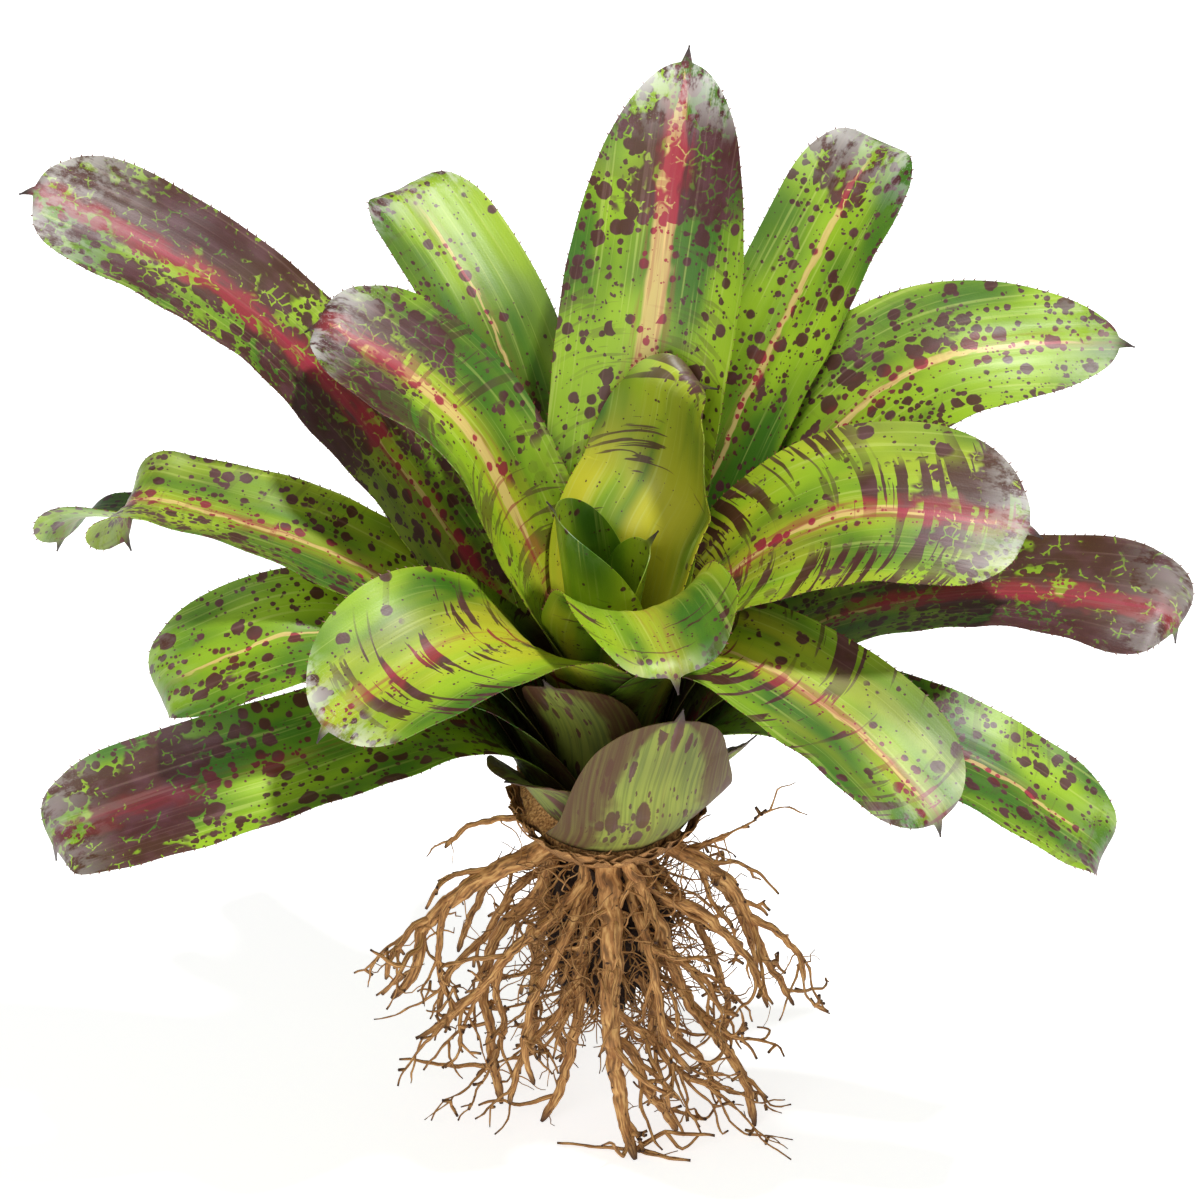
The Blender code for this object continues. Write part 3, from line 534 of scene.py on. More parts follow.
def leaf_material(settings):
    """Living bromeliad leaf: a waxy, semi-gloss cuticle over pale chlorophyll, marked with anthocyanin.

    The eye sees soft broad highlights, fine lengthwise veins, and marks with torn, cell-stepped edges.
    """
    material, n = new_material("waxy_spotted_leaf")
    attribute, maths, step, blend = n.attribute, n.maths, n.step, n.blend
    times, larger, scaled = (partial(maths, kind) for kind in ("MULTIPLY", "MAXIMUM", "MULTIPLY_ADD"))

    def noise(stretch, size, detail, roughness=0.5):
        """Noise over the skin with features of this size in metres, before the stretch."""
        return n.noise(n.vector("MULTIPLY", place, stretch), 1 / size, detail, roughness)

    # Distances over the skin in metres: x across from the midrib, y along from the foot, z a seed.
    skin = add_node(n.tree, "ShaderNodeUVMap", uv_map="skin")
    parts = add_node(n.tree, "ShaderNodeSeparateXYZ", {0: skin.outputs[0]})
    across, along = parts.outputs[0], parts.outputs[1]
    place = add_node(n.tree, "ShaderNodeCombineXYZ", {0: across, 1: along, 2: attribute("seed")}).outputs[0]
    sheath, edge, silver = attribute("sheath"), attribute("edge"), attribute("silver")

    # Marks grow from round cells of three sizes, which merge into scalloped patches. cover sets their
    # share. On a sheath they are drawn out into dashes.
    wobble = n.noise(place, 1 / 0.0022, output="Color")
    shifted = n.vector("MULTIPLY_ADD", wobble, (0.0010, 0.0010, 0), place)
    drawn = add_node(n.tree, "ShaderNodeCombineXYZ", {0: 1.0, 1: scaled(sheath, -0.86, 0.94), 2: 1.0})
    skin_place = n.vector("MULTIPLY", shifted, drawn.outputs[0])
    patches = noise((1.0, 0.7, 1.0), 0.030, 1.0)
    cover = maths("ADD", attribute("spots"), scaled(patches, 0.9, -0.45), clamp=True)

    def cells(size, share, low, high):
        """Round cells: share of them are marked, with radii between low and high in cell widths."""
        made = add_node(n.tree, "ShaderNodeTexVoronoi", {"Vector": skin_place, "Scale": 1 / size})
        chance = add_node(n.tree, "ShaderNodeSeparateColor", {0: made.outputs["Color"]})
        radius = times(scaled(chance.outputs[1], high - low, low), maths("POWER", cover, 0.42))
        chosen = maths("LESS_THAN", chance.outputs[0], share)
        inside = step(maths("SUBTRACT", radius, made.outputs["Distance"]), -0.02, 0.05)
        return times(inside, chosen)

    big = cells(settings.spot_size, scaled(cover, 1.1, 0.05), 0.25, 0.85)
    middle = cells(settings.spot_size * 0.5, scaled(cover, 0.9, 0.06), 0.25, 0.75)
    fine = cells(settings.spot_size * 0.27, scaled(cover, 0.35, 0.14), 0.22, 0.55)
    rounds = larger(larger(big, middle), fine)

    # Crossbars: thin wavy arcs, bowed towards the foot at the margins, with dotted rows between.
    bowed = scaled(times(across, across), 9.0, along)
    bent = add_node(n.tree, "ShaderNodeCombineXYZ", {0: across, 1: bowed, 2: attribute("seed")}).outputs[0]
    ripple = n.noise(n.vector("MULTIPLY", bent, (0.11, 1.0, 1.0)), 1 / 0.0046, 2.5, 0.55, 0.6)
    crossbars = step(maths("SUBTRACT", ripple, scaled(cover, -0.30, 0.70)), -0.004, 0.012)
    kind = times(attribute("bands"), step(patches, 0.30, 0.58))
    marks = larger(times(rounds, step(kind, 0.80, 0.45)), times(crossbars, kind))
    marks = larger(marks, fine)

    # The ripened end: maroon almost all over, with thin lime threads left in a net.
    threads = add_node(n.tree, "ShaderNodeTexVoronoi", {"Vector": skin_place, "Scale": 1 / 0.0046},
                       feature="DISTANCE_TO_EDGE").outputs["Distance"]
    gaps = noise((1.0, 0.6, 1.0), 0.008, 2.0)
    net = times(step(threads, 0.075, 0.03), step(gaps, 0.48, 0.56))
    solid = step(maths("ADD", cover, scaled(gaps, 0.8, -0.4)), 0.62, 0.70)
    marks = larger(marks, times(solid, maths("SUBTRACT", 1.0, net)), clamp=True)

    # Green skin: lime to deep green in broad patches, with fine pale veins.
    broad = noise((1.0, 0.4, 1.0), 0.028, 2.0)
    green = blend(step(broad, 0.34, 0.64), rgba(settings.lime), rgba(settings.green))
    patchy = step(noise((1.0, 0.22, 1.0), 0.02, 2.0), 0.40, 0.66)
    central = step(maths("ABSOLUTE", across), 0.011, 0.003)
    flush = times(attribute("yellow"), larger(patchy, central))
    green = blend(flush, green, rgba(settings.yellow))
    veins = noise((1.0, 0.02, 1.0), settings.vein_pitch, 1.5)
    pale = step(veins, 0.56, 0.74)
    green = blend(times(pale, 0.30), green, VEIN)
    clasped = blend(step(veins, 0.40, 0.64), rgba(settings.sheath), SHEATH_VEIN)
    green = blend(times(sheath, 0.85), green, clasped)

    # The midrib's pale stripe, whose edges wander and fray lengthwise.
    red = attribute("crimson")
    wander = scaled(noise((0.3, 1.0, 1.0), 0.016, 2.0), 0.0050, -0.0025)
    fray = scaled(noise((1.0, 0.05, 1.0), 0.0016, 2.0), 0.0030, -0.0015)
    off = maths("ABSOLUTE", maths("ADD", maths("ADD", across, wander), fray))
    cream = attribute("cream")
    stripe = times(step(maths("DIVIDE", off, larger(cream, 0.0003)), 1.1, 0.7),
                   step(cream, 0.0003, 0.0009))
    base = blend(times(stripe, scaled(pale, 0.2, 0.66)), green, rgba(settings.cream))

    # The marks' own colour: maroon, browner where faint, crimson on and beside the midrib.
    near = step(maths("ADD", maths("ABSOLUTE", across), scaled(gaps, 0.02, -0.01)), 0.008, 0.002)
    stain = blend(step(gaps, 0.42, 0.68), rgba(settings.maroon), rgba(settings.purple))
    stain = blend(larger(stripe, times(red, near)), stain, rgba(settings.crimson))
    stain = blend(times(pale, 0.16), stain, MARK_VEIN)
    shown = times(marks, scaled(sheath, -0.12, 0.95))
    base = blend(shown, base, stain)
    streak = step(noise((1.0, 0.045, 1.0), 0.0019, 2.0), 0.50, 0.62)
    beside = times(step(off, maths("ADD", cream, 0.0060), maths("ADD", cream, 0.0002)), streak)
    base = blend(times(times(beside, red), 0.8), base, rgba(settings.crimson))

    # Silver scurf, in smears and specks at the end, and the dry brown margin and foot of a sheath.
    smears = noise((1.0, 0.5, 1.0), 0.007, 4.0, 0.7)
    specks = noise((1.0, 1.0, 1.0), 0.0007, 1.0)
    scurf = times(step(smears, 0.42, 0.56), silver)
    scurf = larger(scurf, times(step(specks, 0.60, 0.72), times(silver, 0.6)))
    base = blend(times(scurf, 0.86), base, rgba(settings.silver))
    ragged = maths("ADD", edge, scaled(noise((1.0, 0.5, 1.0), 0.012, 3.0), 0.7, -0.35))
    dry = times(step(ragged, 0.40, 0.62), step(sheath, 0.2, 0.6))
    dry = larger(dry, attribute("husk"))
    base = blend(times(dry, scaled(veins, 0.7, 0.5), clamp=True), base, rgba(settings.husk))
    base = blend(attribute("tip"), base, DRY_POINT)

    relief = maths("ADD", times(veins, 0.6), times(specks, 0.35))
    gloss = scaled(sheath, 0.30, scaled(scurf, 0.22, scaled(broad, 0.16, 0.36)))
    n.surface({"Base Color": base, "Roughness": gloss, "Normal": n.bump(0.35, 0.0003, relief), "IOR": 1.45,
               "Subsurface Weight": 0.08, "Subsurface Scale": 0.002, "Subsurface Radius": (0.8, 1.0, 0.3)})
    return material


def sheet_quads(rows, columns):
    """Faces of a thin closed sheet: a grid of points, the same grid for its other side, and the rim."""
    at = np.arange(rows * columns).reshape(rows, columns)
    under = rows * columns
    quads = np.stack([at[:-1, :-1], at[1:, :-1], at[1:, 1:], at[:-1, 1:]], axis=-1).reshape(-1, 4)
    rim = np.concatenate([at[0, :], at[1:, -1], at[-1, -2::-1], at[-2:0:-1, 0]])
    after = np.roll(rim, -1)
    edge = np.stack([rim, after, after + under, rim + under], axis=-1)
    return np.concatenate([quads, quads[:, ::-1] + under, edge])


def closed_mesh(name, points, quads):
    """A smooth mesh with its faces turned outwards."""
    mesh = bpy.data.meshes.new(name)
    mesh.from_pydata(points.tolist(), [], [list(quad) for quad in quads])
    shape = bmesh.new()
    shape.from_mesh(mesh)
    bmesh.ops.recalc_face_normals(shape, faces=shape.faces)
    shape.to_mesh(mesh)
    shape.free()
    mesh.shade_smooth()
    return mesh


def blade_relief(ring, settings, wave, x, u, s, shown):
    """How far groove, ribs, ruffled margins and a slight twist move the surface along its normal.

    x is across the blade in metres and u from -1 to 1, s is along it, and shown fades the relief out.
    """
    free, body = shown
    groove = settings.groove * np.exp(-((x / GROOVE_WIDTH) ** 2)) * body
    ribs = settings.ribs * np.cos(x / RIB_PITCH * 2 * math.pi) * (1 - u ** 2) * body
    phases = np.random.default_rng(100 + ring).uniform(0, 2 * math.pi, 6)
    ruffle = np.zeros_like(x)
    for k, side in enumerate((-1, 1)):
        amount = smooth((u * side - 0.35) / 0.65)
        long_wave = np.sin(s / RUFFLE_PITCHES[0] * 2 * math.pi + phases[k])
        short_wave = np.sin(s / RUFFLE_PITCHES[1] * 2 * math.pi + phases[k + 2])
        ruffle = ruffle + amount * (long_wave + 0.5 * short_wave) * wave * MM * 0.55 * free * body
    twist = 0.4 * MM * np.sin(s / TWIST_PITCH * 2 * math.pi + phases[4]) * u * free * body
    return ruffle + twist + ribs - groove


def skin_values(leaf, ring, margin, s, blade, sheath):
    """What the material reads. margin runs from midrib to edge, s from foot to tip, blade from neck on."""
    look = LOOKS[leaf.name]
    total = s[-1, 0]
    ripe = smooth((blade - look.ripens + 0.08) / 0.22)
    if leaf.neckless:
        blade = s / total
        ripe = smooth((blade - look.ripens) / 0.3)
    clasped = 1 - smooth((s - sheath * 0.35) / (sheath * 0.75))
    if leaf.name.startswith("sheath"):
        clasped = 0.85
    elif ring < CUP_LEAVES:
        clasped = clasped * 0.3
    age = ring / (len(LEAVES) - 1)
    return {
        "seed": ring * 0.37,
        "spots": look.spots[0] + (look.spots[1] - look.spots[0]) * ripe - clasped * 0.08,
        "bands": look.bands,
        "cream": look.cream * MM * (1 - smooth((blade - 0.75) / 0.25)) * smooth(blade * 5),
        "crimson": look.crimson * (1 - 0.3 * blade),
        "yellow": look.yellow * (1 - 0.6 * smooth(blade * 1.4)),
        "silver": look.silver * smooth((blade - 0.78) / 0.2) * (0.6 + 0.4 * margin ** 2),
        "sheath": clasped,
        "edge": margin,
        "husk": smooth(1 - s / HUSK_LENGTH) * (0.3 + 0.7 * age),
        "tip": smooth(1 - (total - s - 0.002) / DARK_POINT),
    }


def leaf_mesh(leaf, ring, settings, material):
    """The fine leaf with its rim and skin attributes, and the free margins that bear spines."""
    u = np.linspace(-1, 1, settings.columns + 1)
    u = np.sign(u) * (1 - (1 - abs(u)) ** 1.15)
    grid, normals, half, stations, sheath = leaf_surface(leaf, ring, settings.rows, u)
    u, s = np.meshgrid(u, stations)
    x = half[:, None] * u
    blade = np.clip((s - sheath) / (stations[-1] - sheath), 0, 1)
    shown = smooth(blade * 6), smooth(half / (leaf.width * MM * 0.3))[:, None]
    relief = blade_relief(ring, settings, LOOKS[leaf.name].wave, x, u, s, shown)
    grid = grid + normals * relief[..., None]
    thick = settings.margin + (settings.thickness - settings.margin) * (1 - u ** 4)
    faces = [to_plant(grid + normals * (thick * sign / 2)[..., None]).reshape(-1, 3) for sign in (1, -1)]
    points = np.concatenate(faces)
    points[:, 2] = np.maximum(points[:, 2], FLOOR_ROOM)
    mesh = closed_mesh(leaf.name + "_fine", points, sheet_quads(*x.shape))
    mesh.set_sharp_from_angle(angle=math.radians(50))

    # The skin's map in metres, and what the material reads at each point.
    flat = np.tile(np.stack([x, s], axis=-1).reshape(-1, 2), (2, 1))
    loops = np.empty(len(mesh.loops), dtype=np.int32)
    mesh.loops.foreach_get("vertex_index", loops)
    mesh.uv_layers.new(name="skin").data.foreach_set("uv", flat[loops].astype(np.float32).ravel())
    for name, value in skin_values(leaf, ring, abs(u), s, blade, sheath).items():
        column = np.tile(np.broadcast_to(value, x.shape).ravel(), 2)
        mesh.attributes.new(name, "FLOAT", "POINT").data.foreach_set("value", column.astype(np.float32))
    mesh.materials.append(material)
    if leaf.neckless:
        return mesh, []

    # Each prickle points outwards and on towards the tip.
    free = (blade[:, 0] > 0.04) & (half > leaf.width * MM * 0.2)
    lines = []
    for side, beside in ((0, 1), (-1, -2)):
        line = to_plant(grid[free, side])
        outwards = unit(line - to_plant(grid[free, beside]))
        lines.append((line, unit(outwards + 0.7 * unit(np.gradient(line, axis=0)))))
    return mesh, lines


class BROMELIAD_OT_leaves(Operator):
    """Makes each leaf as a thin ruffled blade with its own marks"""

    bl_idname = "bromeliad.leaves"
    bl_label = "Leaves"

    def execute(self, context):
        settings = context.scene.bromeliad_leaf
        material = leaf_material(settings)
        points, edges, ways = [], [], []
        for ring, leaf in enumerate(LEAVES):
            mesh, lines = leaf_mesh(leaf, ring, settings, material)
            add_piece(leaf.name + "_blade", mesh, leaf.name)
            for line, way in lines:
                edges += [(len(points) + k, len(points) + k + 1) for k in range(len(line) - 1)]
                points += line.tolist()
                ways += way.tolist()
        line_mesh = bpy.data.meshes.new("margin_lines")
        line_mesh.from_pydata(points, edges, [])
        line_mesh.attributes.new("way", "FLOAT_VECTOR", "POINT").data.foreach_set("vector", np.ravel(ways))
        return {"FINISHED"}


def grow(name, source, tree, values):
    """Runs a node tree on an object once. Returns the plain mesh that comes out, kept above the floor."""
    holder = source if isinstance(source, bpy.types.Object) else bpy.data.objects.new(name, source)
    bpy.context.scene.collection.objects.link(holder)
    modifier = holder.modifiers.new(name, "NODES")
    modifier.node_group = tree
    for item in tree.interface.items_tree:
        if item.item_type == "SOCKET" and item.in_out == "INPUT" and item.name in values:
            modifier[item.identifier] = values[item.name]
    bpy.context.view_layer.update()
    made = bpy.data.meshes.new_from_object(holder.evaluated_get(bpy.context.evaluated_depsgraph_get()))
    made.name = name
    places = np.empty(len(made.vertices) * 3, dtype=np.float32)
    made.vertices.foreach_get("co", places)
    places[2::3] = np.maximum(places[2::3], 0)
    made.vertices.foreach_set("co", places)
    holder.modifiers.clear()
    bpy.data.objects.remove(holder)
    return made


def new_geometry_tree(name, sockets):
    """A geometry node tree with the named inputs besides its geometry and material, and its inputs."""
    tree = bpy.data.node_groups.new(name, "GeometryNodeTree")
    tree.interface.new_socket("Geometry", in_out="INPUT", socket_type="NodeSocketGeometry")
    for label, kind in {**sockets, "Material": "Material"}.items():
        tree.interface.new_socket(label, in_out="INPUT", socket_type="NodeSocket" + kind)
    tree.interface.new_socket("Geometry", in_out="OUTPUT", socket_type="NodeSocketGeometry")
    return tree, tree.nodes.new("NodeGroupInput").outputs


def resample(tree, curve, pitch):
    """The curve with its points at an even pitch."""
    inputs = {"Curve": curve, "Length": pitch}
    return add_node(tree, "GeometryNodeResampleCurve", inputs, mode="LENGTH").outputs[0]


def close_geometry_tree(tree, geometry, material):
    """Makes the instances real, gives them their material and ends the tree."""
    real = add_node(tree, "GeometryNodeRealizeInstances", {0: geometry})
    skinned = add_node(tree, "GeometryNodeSetMaterial", {"Geometry": real.outputs[0], "Material": material})
    add_node(tree, "NodeGroupOutput", {0: skinned.outputs[0]})
    return tree


def spine_tree():
    """Small hooked prickles at an even pitch along each margin, leaning towards the leaf's tip."""
    tree, given = new_geometry_tree("margin_spines", {"Pitch": "Float", "Length": "Float", "Seed": "Int"})
    curve = add_node(tree, "GeometryNodeMeshToCurve", {"Mesh": given["Geometry"]})
    spaced = resample(tree, curve.outputs[0], given["Pitch"])
    prickle = add_node(tree, "GeometryNodeMeshCone", {
        "Vertices": 4, "Radius Top": 0.00003, "Radius Bottom": 0.00034, "Depth": given["Length"]})
    way = add_node(tree, "GeometryNodeInputNamedAttribute", {"Name": "way"}, data_type="FLOAT_VECTOR")
    turn = add_node(tree, "FunctionNodeAlignRotationToVector", {"Vector": way.outputs[0]}, axis="Z")
    size = add_node(tree, "FunctionNodeRandomValue", {2: 0.6, 3: 1.1, "Seed": given["Seed"]},
                    data_type="FLOAT")
    placed = add_node(tree, "GeometryNodeInstanceOnPoints", {
        "Points": spaced, "Instance": prickle.outputs["Mesh"], "Rotation": turn.outputs[0],
        "Scale": size.outputs[1]})
    return close_geometry_tree(tree, placed.outputs[0], given["Material"])


class BROMELIAD_OT_spines(Operator):
    """Sets small prickles along every free margin"""

    bl_idname = "bromeliad.spines"
    bl_label = "Margin spines"

    def execute(self, context):
        settings = context.scene.bromeliad_leaf
        # Dry horn-like prickle: brown, slightly glossy.
        material, n = new_material("horny_prickle")
        n.surface({"Base Color": rgba(settings.prickle), "Roughness": 0.45})
        lines = bpy.data.meshes.get("margin_lines")
        if lines is None:
            self.report({"ERROR"}, "Make the leaves first")
            raise RuntimeError("make the leaves first")
        made = grow("margin_spines", lines, spine_tree(), {
            "Pitch": settings.spine_pitch, "Length": settings.spine_length, "Seed": 3,
            "Material": material})
        add_piece("margin_spines", made)
        return {"FINISHED"}


def bark_material(settings):
    """Dry root bark: corky, matt, split lengthwise into fibres, tan where rubbed and dark in cracks."""
    material, n = new_material("dry_root_bark")
    along = add_node(n.tree, "ShaderNodeCombineXYZ", {2: n.attribute("along")}).outputs[0]
    place = n.vector("ADD", n.attribute("around", "Vector"), along)
    # Fibres about 0.9 mm wide and six times as long, blotches of about 8 mm and cracks of about 2.4 mm.
    streaks = n.noise(n.vector("MULTIPLY", place, (1, 1, 0.16)), 1100, 3.0)
    blotches = n.noise(place, 120, 3.0)
    creases = n.noise(place, 420)
    tone = add_node(n.tree, "ShaderNodeValToRGB", {"Fac": streaks})
    stops = tone.color_ramp.elements
    stops[0].position, stops[0].color = 0.36, rgba([c * 0.42 for c in settings.bark])
    stops[1].position, stops[1].color = 0.66, rgba(settings.bark_light)
    stops.new(0.50).color = rgba(settings.bark)
    worn = n.blend(n.ramp(blotches, 0.52, 0.72), tone.outputs[0], WEATHERED, "MULTIPLY")
    cracked = n.blend(n.ramp(creases, 0.66, 0.72), worn, rgba(settings.bark_dark))
    tipped = n.blend(n.attribute("ending"), cracked, rgba(settings.bark_dark))
    n.surface({"Base Color": tipped, "Roughness": 0.82,
               "Normal": n.bump(0.8, 0.0005, n.maths("ADD", streaks, creases))})
    return material


def tube_tree():
    """Roots from their routes: a wandering path, a tube that follows its radius, and ridged bark."""
    tree, given = new_geometry_tree("root_tubes", {
        "Step": "Float", "Sides": "Int", "Crinkle": "Float", "Ridge": "Float"})
    n = Nodes(tree)

    def store(geometry, name, value, kind="FLOAT"):
        """Keeps a value on the geometry for the bark to read."""
        inputs = {"Geometry": geometry, "Name": name, "Value": value}
        return add_node(tree, "GeometryNodeStoreNamedAttribute", inputs, data_type=kind).outputs[0]

    def move(geometry, offset):
        inputs = {"Geometry": geometry, "Offset": offset}
        return add_node(tree, "GeometryNodeSetPosition", inputs).outputs[0]

    # The path wanders over about 9 mm, but its last part keeps its place.
    spaced = resample(tree, given["Geometry"], given["Step"])
    position = add_node(tree, "GeometryNodeInputPosition").outputs[0]
    spline = add_node(tree, "GeometryNodeSplineParameter").outputs
    centred = n.vector("SUBTRACT", n.noise(position, 110.0, output="Color"), (0.5, 0.5, 0.5))
    shift = n.vector("SCALE", n.vector("SCALE", centred, Scale=given["Crinkle"]), Scale=4.0)
    path = move(spaced, n.vector("SCALE", shift, Scale=n.ramp(spline["Factor"], 1.0, 0.85)))
    path = store(path, "along", spline["Length"])
    path = store(path, "ending", n.ramp(spline["Factor"], 0.93, 1.0))

    # The tube remembers where round the root each point is, on a circle of a usual root's size.
    circle = add_node(tree, "GeometryNodeCurvePrimitiveCircle", {"Resolution": given["Sides"]})
    around = n.vector("SCALE", position, Scale=USUAL_ROOT)
    ring = store(circle.outputs["Curve"], "around", around, "FLOAT_VECTOR")
    radius = add_node(tree, "GeometryNodeInputRadius").outputs[0]
    tube = add_node(tree, "GeometryNodeCurveToMesh", {
        "Curve": path, "Profile Curve": ring, "Scale": radius, "Fill Caps": True})

    # Bark ridges of about 3 mm stand out along the normal.
    lumps = n.noise(position, 330.0, 3.0, 0.6)
    raised = n.maths("MULTIPLY", n.maths("SUBTRACT", lumps, 0.5), given["Ridge"])
    normal = add_node(tree, "GeometryNodeInputNormal").outputs[0]
    ridged = move(tube.outputs[0], n.vector("SCALE", normal, Scale=n.maths("MULTIPLY", raised, 5.0)))
    soft = add_node(tree, "GeometryNodeSetShadeSmooth", {"Geometry": ridged})
    return close_geometry_tree(tree, soft.outputs[0], given["Material"])


def curve_object(name, routes):
    """Poly splines from (points, radii) pairs."""
    data = bpy.data.curves.new(name, "CURVE")
    data.dimensions = "3D"
    for points, radii in routes:
        spline = data.splines.new("POLY")
        spline.points.add(len(points) - 1)
        spline.points.foreach_set("co", np.column_stack([points, np.ones(len(points))]).ravel())
        spline.points.foreach_set("radius", radii)
    return bpy.data.objects.new(name, data)


def main_routes():
    """The main roots' smooth paths and radii."""
    routes = []
    for start, end, *route in ROOTS:
        knots = np.array(route, dtype=float) * MM
        path = through(knots, unit(knots[1] - knots[0]))[0][::4]
        share = np.linspace(0, 1, len(path))
        radii = (start + (end - start) * share ** 0.8) * MM
        radii = radii * (1 - 0.55 * smooth((share - 0.96) / 0.04))
        routes.append((path, radii))
    return routes


def tendril(rng, start, way, reach, radius, curl, steps):
    """A wandering root from a start, turning a little at each step and sinking under its own weight."""
    points, heading = [start], unit(way)
    step = reach / steps
    for _ in range(steps):
        heading = unit(heading + rng.normal(0, curl, 3) + np.array((0, 0, -0.06)))
        point = points[-1] + heading * step
        if point[2] < 0.0016:
            point[2] = 0.0016
            heading[2] = abs(heading[2]) * 0.3
        points.append(point)
    share = np.linspace(0, 1, steps + 1)
    return np.array(points), radius * (1 - 0.55 * share)


def inside_box(points, room=0.004):
    """Keeps a route within the solids' own box."""
    low, high = np.array(CAD_BOX[0]) + room, np.array(CAD_BOX[1]) - room
    low[2] = 0.0010
    points[:] = np.clip(points, low, high)
    return points


def pick_start(rng, routes, pick, low, high):
    """A random place on a route: its point, its direction, one square to it, and its radius."""
    path, radii = routes[pick]
    at = int(rng.uniform(low, high) * (len(path) - 2))
    forward = unit(path[at + 1] - path[at])
    return path[at], forward, unit(np.cross(forward, rng.normal(0, 1, 3))), radii[at]


def side_routes(rng, mains, count):
    """Side roots that leave the main ones outwards, most of them forked."""
    sides = []
    weights = np.array([len(path) * radii.mean() ** 0.4 for path, radii in mains])
    for pick in rng.choice(len(mains), count, p=weights / weights.sum()):
        start, forward, out, radius = pick_start(rng, mains, pick, 0.22, 0.97)
        away = unit(start - np.array((*ROOT_AXIS, start[2])))
        reach = rng.uniform(0.012, 0.046)
        thick = min(radius * 0.6, rng.uniform(0.0009, 0.0017))
        points, wide = tendril(rng, start, forward * 0.8 + out * 0.7 + away * 0.4, reach, thick, 0.22, 9)
        sides.append((inside_box(points), wide))
        if rng.random() < 0.6:
            way = unit(points[6] - points[5]) + rng.normal(0, 0.6, 3)
            fork, narrow = tendril(rng, points[5], way, reach * 0.45, thick * 0.7, 0.3, 6)
            sides.append((inside_box(fork), narrow))
    return sides


def stub_routes(rng, routes, count):
    """Short broken stubs that stand out from the roots."""
    stubs = []
    for _ in range(count):
        pick = rng.integers(len(routes) + len(stubs))
        start, forward, out, radius = pick_start(rng, routes + stubs, pick, 0.15, 0.99)
        thick = min(max(radius * 0.6, 0.0008), 0.0014)
        reach = rng.uniform(0.002, 0.0055) + radius
        points, wide = tendril(rng, start, out + forward * 0.3, reach, thick, 0.2, 4)
        stubs.append((inside_box(points), np.maximum(wide, thick * 0.8)))
    return stubs


class BROMELIAD_OT_roots(Operator):
    """Grows the main roots, their side roots and stubs, and the crown's woody collar"""

    bl_idname = "bromeliad.roots"
    bl_label = "Roots"

    def execute(self, context):
        settings = context.scene.bromeliad_root
        bark = bark_material(settings)
        tree = tube_tree()
        rng = np.random.default_rng(settings.seed)
        mains = main_routes()
        woody = grow("main_roots", curve_object("main_roots", mains), tree, {
            "Step": 0.0016, "Sides": 14, "Crinkle": settings.crinkle, "Ridge": settings.ridge,
            "Material": bark})
        add_piece("main_roots", woody, "crown_and_roots")

        sides = side_routes(rng, mains, settings.side_roots)
        sides += stub_routes(rng, mains + sides, settings.stubs)
        branches = grow("side_roots", curve_object("side_roots", sides), tree, {
            "Step": 0.0022, "Sides": 7, "Crinkle": settings.crinkle * 0.5, "Ridge": settings.ridge * 0.5,
            "Material": bark})
        add_piece("side_roots", branches)

        add_piece("crown_collar", crown_mesh(bark, rng))
        add_piece("collar_scales", scales_mesh(bark, rng, settings.scales))
        return {"FINISHED"}


def mark_bark(mesh, around, along, bark):
    """Gives a mesh the places on a root that the bark's pattern reads."""
    for name, kind, key, values in (("around", "FLOAT_VECTOR", "vector", around),
                                    ("along", "FLOAT", "value", along)):
        made = mesh.attributes.new(name, kind, "POINT")
        made.data.foreach_set(key, values.astype(np.float32).ravel())
    mesh.materials.append(bark)


def crown_mesh(bark, rng):
    """The crown, turned in the rosette's frame and puckered by smooth waves below the leaves' feet."""
    outer = foot_radius(len(LEAVES) - 1)
    drop = CROWN_CLEARANCE * math.hypot(1, CROWN_TAPER)
    tip = outer * CROWN_TAPER - drop
    profile = np.array([(0.0003, tip), (outer * 0.5, tip - outer * 0.5 * CROWN_TAPER), (outer, -drop),
                        (outer + 0.0008, -0.003), (outer - 0.001, -0.007), (outer * 0.86, -0.0135),
                        (outer * 0.5, -0.021), (0.0003, -0.024)])
    rows, columns, waves_laid = 64, 180, 14
    run = np.concatenate([[0], np.cumsum(np.linalg.norm(np.diff(profile, axis=0), axis=1))])
    stops = np.linspace(0, run[-1], rows)[:, None]
    radii, rises = np.interp(stops, run, profile[:, 0]), np.interp(stops, run, profile[:, 1])
    turns = np.linspace(0, 2 * math.pi, columns, endpoint=False)[None, :]
    lumps = np.zeros((rows, columns))
    for _ in range(waves_laid):
        waves, phase = rng.integers(5, 34), rng.uniform(0, 2 * math.pi)
        lumps += np.sin(turns * waves + phase + stops * rng.uniform(100, 420)) / waves ** 0.5
    low = smooth((stops - run[2] * 0.98) / 0.003) * smooth((run[-1] - stops) / 0.01)
    reach = radii + (lumps * 0.0011 - 0.0006) * low
    rise = rises + lumps[:, ::-1] * 0.0006 * low
    grid = np.stack([reach * np.cos(turns), reach * np.sin(turns), rise], axis=-1)
    at = np.arange(rows * columns).reshape(rows, columns)
    right = np.roll(at, -1, axis=1)
    quads = np.stack([at[:-1], at[1:], right[1:], right[:-1]], axis=-1).reshape(-1, 4).tolist()
    quads += [at[0].tolist(), at[-1, ::-1].tolist()]
    mesh = closed_mesh("crown_collar", to_plant(grid).reshape(-1, 3), quads)
    around = np.stack([np.cos(turns) * radii, np.sin(turns) * radii, 0 * lumps], axis=-1)
    mark_bark(mesh, around, stops + 0 * lumps, bark)
    return mesh


